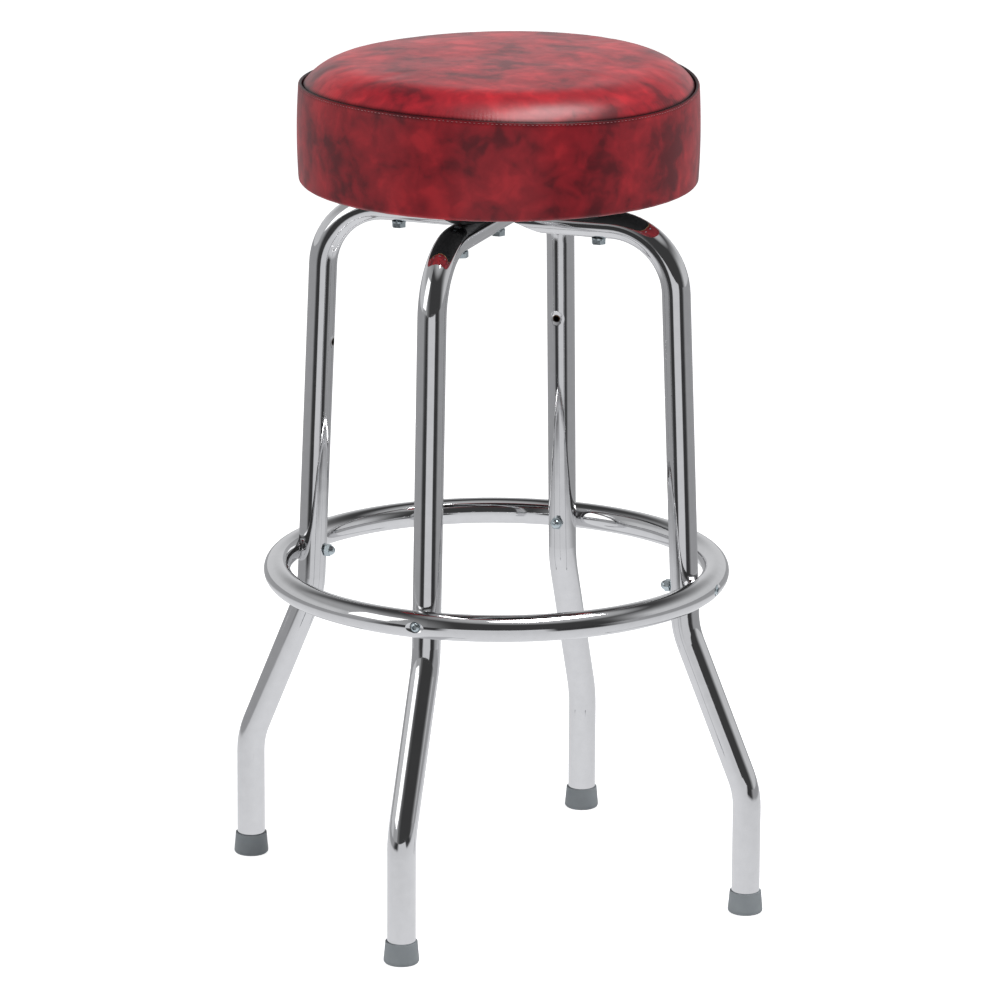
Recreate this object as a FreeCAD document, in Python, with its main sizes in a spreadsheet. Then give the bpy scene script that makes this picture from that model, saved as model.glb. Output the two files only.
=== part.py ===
import FreeCAD, Part
import math
import os
import Sketcher

# Diner counter stool: a round boxed cushion on a ball-bearing swivel, carried by two bent
# chrome tubes that cross under the seat, with a foot ring bolted round the four legs.
# The origin is on the floor under the middle of the seat, +Z is up, and the legs stand on
# the X and Y axes.

doc = FreeCAD.newDocument("diner_counter_stool")
dims = doc.addObject("Spreadsheet::Sheet", "dims")

# Driving dimensions, in millimetres, degrees or counts
driving_dimensions = (
    ("frame_height", "632.6", "floor to the top of the two leg frames"),
    ("tube_diameter", "25.4", "leg tube, outside"),
    ("tube_wall", "1.5", "wall of the leg tube and of the ring tube"),
    ("shoulder_radius", "164.2", "middle of the stool to the leg axis, produced up to the top tube"),
    ("leg_lean", "2.35", "outward lean of the upper leg, degrees"),
    ("bend_radius", "60.0", "top bend, on the tube axis"),
    ("knee_height", "257.7", "where the leg starts to splay"),
    ("ankle_height", "112.9", "where the leg turns upright again"),
    ("foot_radius", "238.9", "middle of the stool to the axis of a foot"),
    ("knee_bend_radius", "75.0", "the two lower bends, on the tube axis"),
    ("crush_clearance", "0.5", "gap beside a tube that lies in the crushed part of the other"),
    ("crush_reach", "43.0", "half length of the crushed part"),
    ("crossing_gap", "0.1", "gap between the two crushed faces"),
    ("ring_height", "296.3", "floor to the axis of the foot ring"),
    ("ring_tube", "23.8", "foot ring tube, outside"),
    ("ring_seat_depth", "5.4", "how deep the ring tube is pressed in where it takes a leg"),
    ("ring_seat_gap", "0.1", "gap between the leg and its seat in the ring"),
    ("dimple_length", "20.0", "oval dimple under a ring bolt, along the ring"),
    ("dimple_width", "13.5", "oval dimple, across the ring"),
    ("dimple_depth", "2.2", "oval dimple, depth"),
    ("spare_hole_height", "491.0", "floor to the spare hole in each leg"),
    ("spare_hole", "5.0", "spare hole for a second ring"),
    ("bolt_diameter", "6.35", "every bolt of the frame"),
    ("bolt_clearance", "0.3", "gap round a bolt in its hole"),
    ("hex_across_flats", "11.1", "bolt heads and nuts"),
    ("bolt_head_height", "4.0", "hexagon heads"),
    ("nut_height", "5.5", "plain hexagon nuts"),
    ("thread_gap", "0.02", "gap between a thread and its nut"),
    ("bolt_end", "1.2", "bolt standing out of its nut"),
    ("washer_diameter", "12.4", "spring lock washers"),
    ("washer_thickness", "1.6", "spring lock washers"),
    ("cap_nut_skirt", "4.5", "hexagon part of a cap nut"),
    ("cap_nut_across_flats", "10.0", "cap nuts"),
    ("cap_nut_dome", "4.4", "radius of the dome of a cap nut"),
    ("button_head_diameter", "9.6", "heads of the ring bolts"),
    ("button_head_height", "2.8", "heads of the ring bolts"),
    ("socket_across_flats", "4.0", "key socket of the ring bolts"),
    ("socket_depth", "1.8", "key socket of the ring bolts"),
    ("tip_top_diameter", "28.4", "rubber foot tip, at its mouth"),
    ("tip_bottom_diameter", "31.4", "rubber foot tip, at the floor"),
    ("tip_height", "20.0", "rubber foot tip"),
    ("tip_floor", "5.0", "rubber under the tube end"),
    ("tip_gap", "0.05", "gap between the tube and its tip"),
    ("tip_edge", "3.0", "rounding of the tip at the floor"),
    ("plate_side", "152.0", "square plates of the swivel"),
    ("plate_corner", "12.0", "rounding of their corners"),
    ("plate_thickness", "2.5", "swivel plates"),
    ("bolt_circle_radius", "94.0", "frame bolts, and the screws into the seat board"),
    ("track_radius", "43.0", "ball track, on the middle of the balls"),
    ("track_depth", "1.0", "depth of the ball groove in each plate"),
    ("track_clearance", "0.03", "gap between a ball and its groove"),
    ("ball_diameter", "6.35", "bearing balls"),
    ("ball_count", "24", "bearing balls"),
    ("cage_thickness", "1.6", "ball cage"),
    ("cage_width", "9.0", "ball cage, across the ring"),
    ("cage_pocket_gap", "0.15", "gap round a ball in the cage"),
    ("deck_height", "13.5", "top of the raised deck above the frame"),
    ("deck_inner_radius", "33.0", "opening in the raised deck"),
    ("deck_outer_radius", "54.0", "outer edge of the raised deck"),
    ("deck_foot_radius", "60.0", "where the deck comes down to the plate"),
    ("keeper_thickness", "1.5", "keeper ring under the deck"),
    ("keeper_gap", "0.3", "running gap between the keeper and the deck"),
    ("keeper_outer_radius", "38.0", "keeper ring, lower flange"),
    ("keeper_wall_radius", "29.0", "keeper ring, outside of its wall"),
    ("keeper_inner_radius", "16.5", "keeper ring, upper flange"),
    ("rivet_circle_radius", "21.5", "keeper rivets"),
    ("rivet_diameter", "3.2", "keeper rivets"),
    ("rivet_head_diameter", "6.0", "keeper rivets"),
    ("rivet_head_height", "1.2", "keeper rivets"),
    ("rivet_count", "6", "keeper rivets"),
    ("screw_diameter", "4.2", "screws into the seat board"),
    ("screw_head_diameter", "8.0", "screws into the seat board"),
    ("screw_head_height", "2.2", "screws into the seat board"),
    ("screw_length", "13.0", "screw below the head"),
    ("dust_cover_thickness", "0.5", "black cloth under the seat board"),
    ("board_thickness", "15.0", "plywood seat board"),
    ("board_inset", "3.5", "foam round the edge of the board"),
    ("seat_diameter", "355.6", "cushion, over the band"),
    ("seam_height", "89.4", "underside of the cushion to the top of the band"),
    ("crown_height", "20.8", "top of the band to the top of the crown"),
    ("crown_flat_radius", "132.0", "where the crown turns into its shoulder"),
    ("crown_sag", "2.0", "fall of the crown to the start of the shoulder"),
    ("cover_thickness", "1.2", "vinyl cover"),
    ("cover_gap", "0.05", "gap between the cover and the foam or board"),
    ("cover_turn_in", "24.0", "cover turned in under the board"),
    ("band_draw_in", "1.2", "how much the band is drawn in at its top and bottom"),
    ("lip_width", "4.8", "top edge of the band, outside the seam"),
    ("seam_depth", "2.4", "depth of the seam below the top of the lip"),
    ("staple_circle_radius", "157.0", "staples that hold the cover"),
    ("staple_count", "28", "staples that hold the cover"),
    ("staple_crown", "10.0", "staple, between the outsides of its legs"),
    ("staple_wire", "1.0", "staple wire"),
    ("staple_leg", "8.0", "staple leg above the crown"),
)

for row, (alias, number, meaning) in enumerate(driving_dimensions, start=1):
    dims.set("A%d" % row, alias)
    dims.set("B%d" % row, number)
    dims.set("C%d" % row, meaning)
    dims.setAlias("B%d" % row, alias)
doc.recompute()

# Places that follow from the driving dimensions, as expressions of the sheet
FRAME_TOP = "dims.frame_height"
TUBE_AXIS = "(dims.frame_height - dims.tube_diameter / 2)"
TUBE_BOTTOM = "(dims.frame_height - dims.tube_diameter)"
TUBE_RADIUS = "(dims.tube_diameter / 2)"
RING_TUBE_RADIUS = "(dims.ring_tube / 2)"
LEG_RADIUS_AT_RING = ("(dims.shoulder_radius + (" + TUBE_AXIS
                      + " - dims.ring_height) * tan(dims.leg_lean * 1 deg))")
LEG_RADIUS_AT_SPARE_HOLE = ("(dims.shoulder_radius + (" + TUBE_AXIS
                            + " - dims.spare_hole_height) * tan(dims.leg_lean * 1 deg))")
RING_RADIUS = ("(" + LEG_RADIUS_AT_RING + " + dims.tube_diameter / 2 + dims.ring_seat_gap"
               + " + dims.ring_tube / 2 - dims.ring_seat_depth)")
RING_HEAD_SEAT = "(" + RING_RADIUS + " + dims.ring_tube / 2 - dims.dimple_depth)"
CAP_NUT_CORNER_RADIUS = "(dims.cap_nut_across_flats / 2 / cos(30 deg))"
CAP_NUT_SEAT = ("(" + LEG_RADIUS_AT_RING + " - dims.tube_diameter / 2 / cos(dims.leg_lean * 1 deg) - "
                + CAP_NUT_CORNER_RADIUS + " * tan(dims.leg_lean * 1 deg))")
BOLT_HOLE = "(dims.bolt_diameter + 2 * dims.bolt_clearance)"
WASHER_BOTTOM = "(" + TUBE_BOTTOM + " - dims.washer_thickness)"
HEAD_BOTTOM = "(" + WASHER_BOTTOM + " - dims.bolt_head_height)"
HEX_CORNER_RADIUS = "(dims.hex_across_flats / 2 / cos(30 deg))"
PLATE_TOP = "(dims.frame_height + dims.plate_thickness)"
DECK_TOP = "(dims.frame_height + dims.deck_height)"
DECK_BOTTOM = "(" + DECK_TOP + " - dims.plate_thickness)"
BALL_HEIGHT = "(" + DECK_TOP + " - dims.track_depth + dims.ball_diameter / 2)"
UPPER_PLATE_BOTTOM = "(" + BALL_HEIGHT + " + dims.ball_diameter / 2 - dims.track_depth)"
UPPER_PLATE_TOP = "(" + UPPER_PLATE_BOTTOM + " + dims.plate_thickness)"
KEEPER_TOP = UPPER_PLATE_BOTTOM
KEEPER_FLANGE_TOP = "(" + DECK_BOTTOM + " - dims.keeper_gap)"
BOARD_BOTTOM = "(" + UPPER_PLATE_TOP + " + dims.dust_cover_thickness)"
BOARD_TOP = "(" + BOARD_BOTTOM + " + dims.board_thickness)"
BAND_INNER = "(dims.seat_diameter / 2 - dims.cover_thickness)"
FOAM_RADIUS = "(dims.seat_diameter / 2 - dims.cover_thickness - dims.cover_gap - dims.band_draw_in)"
BOARD_RADIUS = "(" + FOAM_RADIUS + " - dims.board_inset)"
SEAT_BOTTOM = "(" + BOARD_BOTTOM + " - dims.cover_gap - dims.cover_thickness)"
SEAM_TOP = "(" + SEAT_BOTTOM + " + dims.seam_height)"
CROWN_TOP = "(" + SEAM_TOP + " + dims.crown_height)"
CROWN_EDGE_RADIUS = "(dims.seat_diameter / 2 - dims.lip_width)"
CROWN_EDGE_HEIGHT = "(" + SEAM_TOP + " - dims.seam_depth)"
CROWN_SHOULDER_HEIGHT = "(" + CROWN_TOP + " - dims.crown_sag)"
CROWN_BALL_RADIUS = ("((dims.crown_flat_radius * dims.crown_flat_radius"
                     + " + dims.crown_sag * dims.crown_sag) / 2 / dims.crown_sag)")
CROWN_END_SLOPE = "(2 * atan(dims.crown_sag / dims.crown_flat_radius))"


def size(expression):
    """Number that an expression of the sheet stands for now."""
    return float(dims.evalExpression(expression))


def bind(thing, prop, expression):
    """Set a property from the sheet and keep it bound to it."""
    thing.setExpression(prop, expression)


# Sketches and bodies

def origin_feature(body, role):
    """Origin plane or axis of a body, found by its role."""
    for feature in body.Origin.OriginFeatures:
        if feature.Role == role:
            return feature


def new_body(name):
    """Empty body that may hold a group of separate solids."""
    body = doc.addObject("PartDesign::Body", name)
    body.AllowCompound = True
    return body


def new_sketch(body, name, role="XY_Plane", height=None):
    """Sketch on an origin plane of its body, lifted to a height if one is given."""
    sketch = body.newObject("Sketcher::SketchObject", name)
    sketch.AttachmentSupport = [(origin_feature(body, role), "")]
    sketch.MapMode = "FlatFace"
    if height is not None:
        bind(sketch, "AttachmentOffset.Base.z", height)
    return sketch


def measure(sketch, kind, geometry, point, expression):
    """Distance of a point from the sketch origin along X or Y, bound to the sheet."""
    if expression == "0":
        axis = -2 if kind == "DistanceX" else -1
        sketch.addConstraint(Sketcher.Constraint("PointOnObject", geometry, point, axis))
        return
    number = sketch.addConstraint(Sketcher.Constraint(kind, -1, 1, geometry, point, size(expression)))
    sketch.setExpression("Constraints[%d]" % number, expression)


def fix_point(sketch, geometry, point, place):
    """Both coordinates of a point, bound to the sheet."""
    measure(sketch, "DistanceX", geometry, point, place[0])
    measure(sketch, "DistanceY", geometry, point, place[1])


def arc_through(start, end, centre, turns_left):
    """Arc of a circle from start to end round a centre, in the sketch plane."""
    radius = math.hypot(start[0] - centre[0], start[1] - centre[1])
    first = math.atan2(start[1] - centre[1], start[0] - centre[0])
    last = math.atan2(end[1] - centre[1], end[0] - centre[0])
    circle = Part.Circle(FreeCAD.Vector(centre[0], centre[1], 0), FreeCAD.Vector(0, 0, 1), radius)
    if turns_left:
        return Part.ArcOfCircle(circle, first, last)
    return Part.ArcOfCircle(circle, last, first)


def arc_centre(start, end, radius):
    """Centre of the arc of this radius: on the left of the chord if the radius is positive."""
    middle = ((start[0] + end[0]) / 2, (start[1] + end[1]) / 2)
    chord = math.hypot(end[0] - start[0], end[1] - start[1])
    along = ((end[0] - start[0]) / chord, (end[1] - start[1]) / chord)
    rise = math.copysign(math.sqrt(max(radius * radius - chord * chord / 4, 0)), radius)
    return (middle[0] - along[1] * rise, middle[1] + along[0] * rise)


def outline(sketch, start, steps):
    """Closed outline: each step is ("line", u, v), ("arc", u, v, radius) or ("crown", u, v, radius).

    The places are expressions of the sheet. An arc turns left where its radius is
    positive and right where it is negative. A crown is an arc centred on the upright axis.
    """
    places = [start] + [(step[1], step[2]) for step in steps]
    points = [(size(u), size(v)) for u, v in places]
    start_ends = []
    for index, step in enumerate(steps):
        first = points[index]
        last = points[index + 1]
        if step[0] == "line":
            geometry = sketch.addGeometry(Part.LineSegment(FreeCAD.Vector(first[0], first[1], 0),
                                                           FreeCAD.Vector(last[0], last[1], 0)))
            start_ends.append((geometry, 1, 2))
        else:
            radius = size(step[3])
            arc = arc_through(first, last, arc_centre(first, last, radius), radius > 0)
            geometry = sketch.addGeometry(arc)
            start_ends.append((geometry, 1, 2) if radius > 0 else (geometry, 2, 1))
            if step[0] == "crown":
                sketch.addConstraint(Sketcher.Constraint("PointOnObject", geometry, 3, -2))
            else:
                number = sketch.addConstraint(Sketcher.Constraint("Radius", geometry, abs(radius)))
                sketch.setExpression("Constraints[%d]" % number, "abs(" + step[3] + ")")
    for index, (geometry, begin, finish) in enumerate(start_ends):
        after, after_begin, unused = start_ends[(index + 1) % len(start_ends)]
        sketch.addConstraint(Sketcher.Constraint("Coincident", geometry, finish, after, after_begin))
        fix_point(sketch, geometry, begin, places[index])


def circle(sketch, radius, place=("0", "0")):
    """Circle of a radius round a place, both bound to the sheet."""
    centre = FreeCAD.Vector(size(place[0]), size(place[1]), 0)
    geometry = sketch.addGeometry(Part.Circle(centre, FreeCAD.Vector(0, 0, 1), size(radius)))
    number = sketch.addConstraint(Sketcher.Constraint("Radius", geometry, size(radius)))
    sketch.setExpression("Constraints[%d]" % number, radius)
    fix_point(sketch, geometry, 3, place)


def hexagon(sketch, corner_radius, place):
    """Regular hexagon with a corner pointing along X."""
    corners = []
    for corner in range(6):
        angle = "%d deg" % (60 * corner)
        corners.append(("(%s + %s * cos(%s))" % (place[0], corner_radius, angle),
                        "(%s + %s * sin(%s))" % (place[1], corner_radius, angle)))
    corners[0] = ("(%s + %s)" % (place[0], corner_radius), place[1])
    corners[3] = ("(%s - %s)" % (place[0], corner_radius), place[1])
    outline(sketch, corners[0], [("line", u, v) for u, v in corners[1:] + corners[:1]])


def rectangle(sketch, left, right, bottom, top):
    """Rectangle between four expressions of the sheet."""
    outline(sketch, (left, bottom), [("line", right, bottom), ("line", right, top),
                                     ("line", left, top), ("line", left, bottom)])


def pad(body, name, sketch, length):
    """Material from a sketch, upwards."""
    feature = body.newObject("PartDesign::Pad", name)
    feature.Profile = sketch
    bind(feature, "Length", length)
    return feature


def cut_through(body, name, sketch, length):
    """Pocket that runs up from its sketch through the solid."""
    feature = body.newObject("PartDesign::Pocket", name)
    feature.Profile = sketch
    feature.Reversed = True
    bind(feature, "Length", length)
    return feature


def turn(body, name, sketch, kind="PartDesign::Revolution"):
    """Solid, or groove, made by turning a sketch once round the upright axis."""
    feature = body.newObject(kind, name)
    feature.Profile = sketch
    feature.ReferenceAxis = (origin_feature(body, "Z_Axis"), [""])
    feature.Angle = 360
    return feature


def repeat_round(body, name, features, count):
    """The features, repeated round the upright axis."""
    pattern = body.newObject("PartDesign::PolarPattern", name)
    pattern.Originals = features
    pattern.Axis = (origin_feature(body, "Z_Axis"), [""])
    pattern.Angle = 360
    if count.isdigit():
        pattern.Occurrences = int(count)
    else:
        bind(pattern, "Occurrences", count)
    body.Tip = pattern
    return pattern


# Part primitives and booleans

def primitive(kind, name, **bindings):
    """Part primitive whose named properties are bound to the sheet."""
    thing = doc.addObject("Part::" + kind, name)
    for prop, expression in bindings.items():
        bind(thing, prop, expression)
    return thing


def place(thing, x="0", y="0", z="0", axis=(0, 0, 1), angle="0 deg"):
    """Placement of a shape: moved to a place and turned about an axis."""
    for prop, expression in (("x", x), ("y", y), ("z", z)):
        if expression != "0":
            bind(thing, "Placement.Base." + prop, expression)
    if angle != "0 deg":
        for prop, share in zip("xyz", axis):
            bind(thing, "Placement.Rotation.Axis." + prop, str(share))
        bind(thing, "Placement.Rotation.Angle", angle)
    return thing


def joined(name, shapes):
    """Several shapes fused."""
    thing = doc.addObject("Part::MultiFuse", name)
    thing.Shapes = shapes
    return thing


def cut(name, base, tool):
    """One shape cut by another."""
    thing = doc.addObject("Part::Cut", name)
    thing.Base = base
    thing.Tool = tool
    return thing


# Leg frames

def bent_path(corners, radii):
    """Wire through corners in the XZ plane, each inner corner rounded by an arc."""
    edges = []
    last = FreeCAD.Vector(*corners[0])
    for index in range(1, len(corners) - 1):
        before = FreeCAD.Vector(*corners[index - 1])
        corner = FreeCAD.Vector(*corners[index])
        after = FreeCAD.Vector(*corners[index + 1])
        back = (before - corner).normalize()
        onward = (after - corner).normalize()
        half_angle = back.getAngle(onward) / 2
        reach = radii[index - 1] / math.tan(half_angle)
        arc_start = corner + back * reach
        arc_end = corner + onward * reach
        bisector = (back + onward).normalize()
        arc_middle = corner + bisector * (radii[index - 1] / math.sin(half_angle) - radii[index - 1])
        edges.append(Part.LineSegment(last, arc_start).toShape())
        edges.append(Part.Arc(arc_start, arc_middle, arc_end).toShape())
        last = arc_end
    edges.append(Part.LineSegment(last, FreeCAD.Vector(*corners[-1])).toShape())
    return Part.Wire(edges)


def frame_spine(name):
    """Axis of one leg frame: foot, ankle, knee, top bend and across to the other foot."""
    top = size(TUBE_AXIS)
    knee = size("dims.knee_height")
    ankle = size("dims.ankle_height")
    foot = size("dims.foot_radius")
    shoulder = size("dims.shoulder_radius")
    knee_radius = shoulder + (top - knee) * math.tan(math.radians(size("dims.leg_lean")))
    half = [(foot, 0, size("dims.tip_floor")), (foot, 0, ankle), (knee_radius, 0, knee), (shoulder, 0, top)]
    corners = half + [(-x, y, z) for x, y, z in reversed(half)]
    lower = size("dims.knee_bend_radius")
    upper = size("dims.bend_radius")
    spine = doc.addObject("Part::Feature", name)
    spine.Shape = bent_path(corners, [lower, lower, upper, upper, lower, lower])
    return spine


def swept(name, spine, radius):
    """Round rod of a radius along the spine."""
    section = primitive("Circle", name + "_section", Radius=radius)
    place(section, x="dims.foot_radius", z="dims.tip_floor")
    rod = doc.addObject("Part::Sweep", name)
    rod.Sections = [section]
    rod.Spine = (spine, ["Edge%d" % (index + 1) for index in range(len(spine.Shape.Edges))])
    rod.Solid = True
    rod.Frenet = False
    return rod


def crush_wedge(name, lift):
    """Wedge-sided block that presses the middle of a tube to half its depth, from below.

    Its flat top is as wide as the other tube and lies on the tube axis, and its flanks
    run out to the tube's surface at the crush reach.
    """
    half_top = "(dims.tube_diameter / 2 + dims.crush_clearance)"
    spread = "((dims.crush_reach - " + half_top + ") * 2 / dims.tube_diameter)"
    depth = "dims.tube_diameter"
    half_foot = "(" + half_top + " + " + depth + " * " + spread + ")"
    wedge = primitive("Wedge", name, Xmin="-" + half_foot, Xmax=half_foot, X2min="-" + half_top,
                      X2max=half_top, Ymin="-" + depth, Ymax="0", Zmin="-dims.tube_diameter",
                      Zmax="dims.tube_diameter", Z2min="-dims.tube_diameter", Z2max="dims.tube_diameter")
    return place(wedge, z=TUBE_AXIS + " + dims.crossing_gap / 2 + " + lift, axis=(1, 0, 0), angle="90 deg")


def upright_hole(name, x):
    """Bolt hole straight up through the top tube."""
    hole = primitive("Cylinder", name, Radius=BOLT_HOLE + " / 2", Height="dims.tube_diameter + 4")
    return place(hole, x=x, z=TUBE_BOTTOM + " - 2")


def side_hole(name, side, radius, height, diameter):
    """Hole through a leg, level and pointing at the middle of the stool."""
    hole = primitive("Cylinder", name, Radius=diameter + " / 2", Height="2 * dims.tube_diameter")
    return place(hole, x="%d * (%s - dims.tube_diameter)" % (side, radius), z=height, axis=(0, 1, 0),
                 angle="%d deg" % (90 * side))


def spare_hole(name, side):
    """Spare hole in the inner wall of a leg only."""
    hole = primitive("Cylinder", name, Radius="dims.spare_hole / 2", Height="dims.tube_diameter")
    return place(hole, x="%d * (%s - dims.tube_diameter)" % (side, LEG_RADIUS_AT_SPARE_HOLE),
                 z="dims.spare_hole_height", axis=(0, 1, 0), angle="%d deg" % (90 * side))


def leg_frame(name, turned, upper):
    """One bent tube with two legs, crushed where it crosses the other one.

    The upper frame is crushed from below and the lower one from above. The lower frame
    is the same part turned over in its middle and turned a quarter about the upright axis.
    """
    spine = frame_spine(name + "_spine")
    rod = swept(name + "_rod", spine, TUBE_RADIUS)
    bore = swept(name + "_bore", spine, "(dims.tube_diameter / 2 - dims.tube_wall)")
    crush = crush_wedge(name + "_crush", "0")
    bore_crush = crush_wedge(name + "_bore_crush", "dims.tube_wall")
    if not upper:
        for wedge, lift in ((crush, "0"), (bore_crush, "dims.tube_wall")):
            place(wedge, z=TUBE_AXIS + " - dims.crossing_gap / 2 - " + lift, axis=(1, 0, 0), angle="-90 deg")
    outside = cut(name + "_outside", rod, crush)
    inside = cut(name + "_inside", bore, bore_crush)
    shell = cut(name + "_shell", outside, inside)
    holes = [upright_hole(name + "_crossing_hole", "0")]
    for side, word in ((1, "plus"), (-1, "minus")):
        holes.append(upright_hole(name + "_plate_hole_" + word, "%d * dims.bolt_circle_radius" % side))
        holes.append(side_hole(name + "_ring_hole_" + word, side, LEG_RADIUS_AT_RING,
                               "dims.ring_height", BOLT_HOLE))
        holes.append(spare_hole(name + "_spare_hole_" + word, side))
    frame = cut(name, shell, joined(name + "_holes", holes))
    if turned:
        place(frame, angle="90 deg")
    return frame


# Foot ring

def at_each_leg(name, make):
    """Four tools, one at each leg, joined."""
    return joined(name, [make("%s_%d" % (name, quarter), 90 * quarter) for quarter in range(4)])


def leaning_leg(name, bearing, radius):
    """Straight rod along the upper leg, on a bearing about the upright axis."""
    rod = primitive("Cylinder", name + "_rod", Radius=radius, Height="6 * dims.ring_tube")
    lean = "dims.leg_lean * 1 deg"
    half = "3 * dims.ring_tube"
    place(rod, x=LEG_RADIUS_AT_RING + " + " + half + " * sin(" + lean + ")",
          z="dims.ring_height - " + half + " * cos(" + lean + ")", axis=(0, 1, 0), angle="-" + lean)
    holder = doc.addObject("Part::Compound", name)
    holder.Links = [rod]
    return place(holder, angle="%d deg" % bearing)


def outer_dimple(name, bearing, grow):
    """Oval dimple on the outer side of the ring, with a flat round seat for a bolt head."""
    oval = primitive("Ellipsoid", name + "_oval", Radius1="dims.dimple_width / 2 + " + grow,
                     Radius2="2 * dims.dimple_depth + " + grow, Radius3="dims.dimple_length / 2 + " + grow)
    oval.Angle1 = -90
    place(oval, x=RING_RADIUS + " + dims.ring_tube / 2 + dims.dimple_depth", z="dims.ring_height")
    seat = primitive("Cylinder", name + "_seat", Height="dims.ring_tube",
                     Radius="dims.button_head_diameter / 2 + dims.bolt_clearance + " + grow)
    place(seat, x=RING_HEAD_SEAT + " - " + grow, z="dims.ring_height", axis=(0, 1, 0), angle="90 deg")
    return place(joined(name, [oval, seat]), angle="%d deg" % bearing)


def ring_bolt_hole(name, bearing):
    """Level hole through both walls of the ring, pointing at the middle of the stool."""
    hole = primitive("Cylinder", name + "_hole", Radius=BOLT_HOLE + " / 2", Height="2 * dims.ring_tube")
    place(hole, x=RING_RADIUS + " - dims.ring_tube", z="dims.ring_height", axis=(0, 1, 0), angle="90 deg")
    holder = doc.addObject("Part::Compound", name)
    holder.Links = [hole]
    return place(holder, angle="%d deg" % bearing)


def foot_ring():
    """Hollow ring, pressed in on its inner side to seat on each leg and dimpled outside."""
    seat_radius = "(dims.tube_diameter / 2 + dims.ring_seat_gap)"
    rod = primitive("Torus", "foot_ring_rod", Radius1=RING_RADIUS, Radius2=RING_TUBE_RADIUS)
    bore = primitive("Torus", "foot_ring_bore", Radius1=RING_RADIUS,
                     Radius2="dims.ring_tube / 2 - dims.tube_wall")
    for torus in (rod, bore):
        place(torus, z="dims.ring_height")
    seats = at_each_leg("ring_seats", lambda name, bearing: leaning_leg(name, bearing, seat_radius))
    seat_walls = at_each_leg("ring_seat_walls", lambda name, bearing: leaning_leg(
        name, bearing, seat_radius + " + dims.tube_wall"))
    dimples = at_each_leg("ring_dimples", lambda name, bearing: outer_dimple(name, bearing, "0"))
    dimple_walls = at_each_leg("ring_dimple_walls", lambda name, bearing: outer_dimple(
        name, bearing, "dims.tube_wall"))
    holes = at_each_leg("ring_bolt_holes", ring_bolt_hole)
    outside = cut("foot_ring_outside", rod, joined("foot_ring_presses", [seats, dimples]))
    inside = cut("foot_ring_inside", bore, joined("foot_ring_press_walls", [seat_walls, dimple_walls]))
    return cut("foot_ring", cut("foot_ring_shell", outside, inside), holes)


# Fasteners of the frame, each drawn once on the X axis and repeated round the stool

def hex_bolts(name, radius, count, top):
    """Hexagon bolts from below, up to a height."""
    body = new_body(name)
    head_sketch = new_sketch(body, name + "_head_outline", height=HEAD_BOTTOM)
    hexagon(head_sketch, HEX_CORNER_RADIUS, (radius, "0"))
    head = pad(body, name + "_head", head_sketch, "dims.bolt_head_height")
    shank_sketch = new_sketch(body, name + "_shank_outline", height=WASHER_BOTTOM)
    circle(shank_sketch, "dims.bolt_diameter / 2", (radius, "0"))
    shank = pad(body, name + "_shank", shank_sketch, top + " - " + WASHER_BOTTOM)
    if count != "1":
        repeat_round(body, name + "_round", [head, shank], count)
    return body


def hex_nuts(name, radius, count, bottom):
    """Plain hexagon nuts, from a height up."""
    body = new_body(name)
    sketch = new_sketch(body, name + "_outline", height=bottom)
    hexagon(sketch, HEX_CORNER_RADIUS, (radius, "0"))
    circle(sketch, "(dims.bolt_diameter / 2 + dims.thread_gap)", (radius, "0"))
    nut = pad(body, name + "_blank", sketch, "dims.nut_height")
    if count != "1":
        repeat_round(body, name + "_round", [nut], count)
    return body


def lock_washers(name, radius, count):
    """Spring washers between the bolt heads and the tube."""
    body = new_body(name)
    sketch = new_sketch(body, name + "_outline", height=WASHER_BOTTOM)
    circle(sketch, "dims.washer_diameter / 2", (radius, "0"))
    circle(sketch, "(dims.bolt_diameter / 2 + dims.thread_gap)", (radius, "0"))
    washer = pad(body, name + "_ring", sketch, "dims.washer_thickness")
    if count != "1":
        repeat_round(body, name + "_round", [washer], count)
    return body


def ring_bolts():
    """Button-head bolts, from the dimple outside the ring through the leg to a cap nut."""
    body = new_body("ring_bolts")
    sketch = new_sketch(body, "ring_bolt_outline", role="XZ_Plane")
    head = "(dims.button_head_diameter / 2)"
    dome = ("((" + head + " * " + head + " + dims.button_head_height * dims.button_head_height)"
            + " / 2 / dims.button_head_height)")
    axis = "dims.ring_height"
    shank = "(dims.bolt_diameter / 2)"
    inner_end = "(" + CAP_NUT_SEAT + " - dims.cap_nut_skirt)"
    outline(sketch, (inner_end, axis), [
        ("line", "(" + RING_HEAD_SEAT + " + dims.button_head_height)", axis),
        ("arc", RING_HEAD_SEAT, "(" + axis + " + " + head + ")", dome),
        ("line", RING_HEAD_SEAT, "(" + axis + " + " + shank + ")"),
        ("line", inner_end, "(" + axis + " + " + shank + ")"),
        ("line", inner_end, axis)])
    blank = body.newObject("PartDesign::Revolution", "ring_bolt_blank")
    blank.Profile = sketch
    blank.ReferenceAxis = (sketch, ["Edge1"])
    blank.Angle = 360
    socket_sketch = new_sketch(body, "ring_bolt_socket_outline", role="YZ_Plane",
                               height="(" + RING_HEAD_SEAT + " + dims.button_head_height)")
    corner = "(dims.socket_across_flats / 2 / cos(30 deg))"
    hexagon(socket_sketch, corner, ("0", axis))
    doc.recompute()
    socket = body.newObject("PartDesign::Pocket", "ring_bolt_socket")
    socket.Profile = socket_sketch
    bind(socket, "Length", "dims.socket_depth")
    repeat_round(body, "ring_bolts_round", [blank, socket], "4")
    return body


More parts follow.
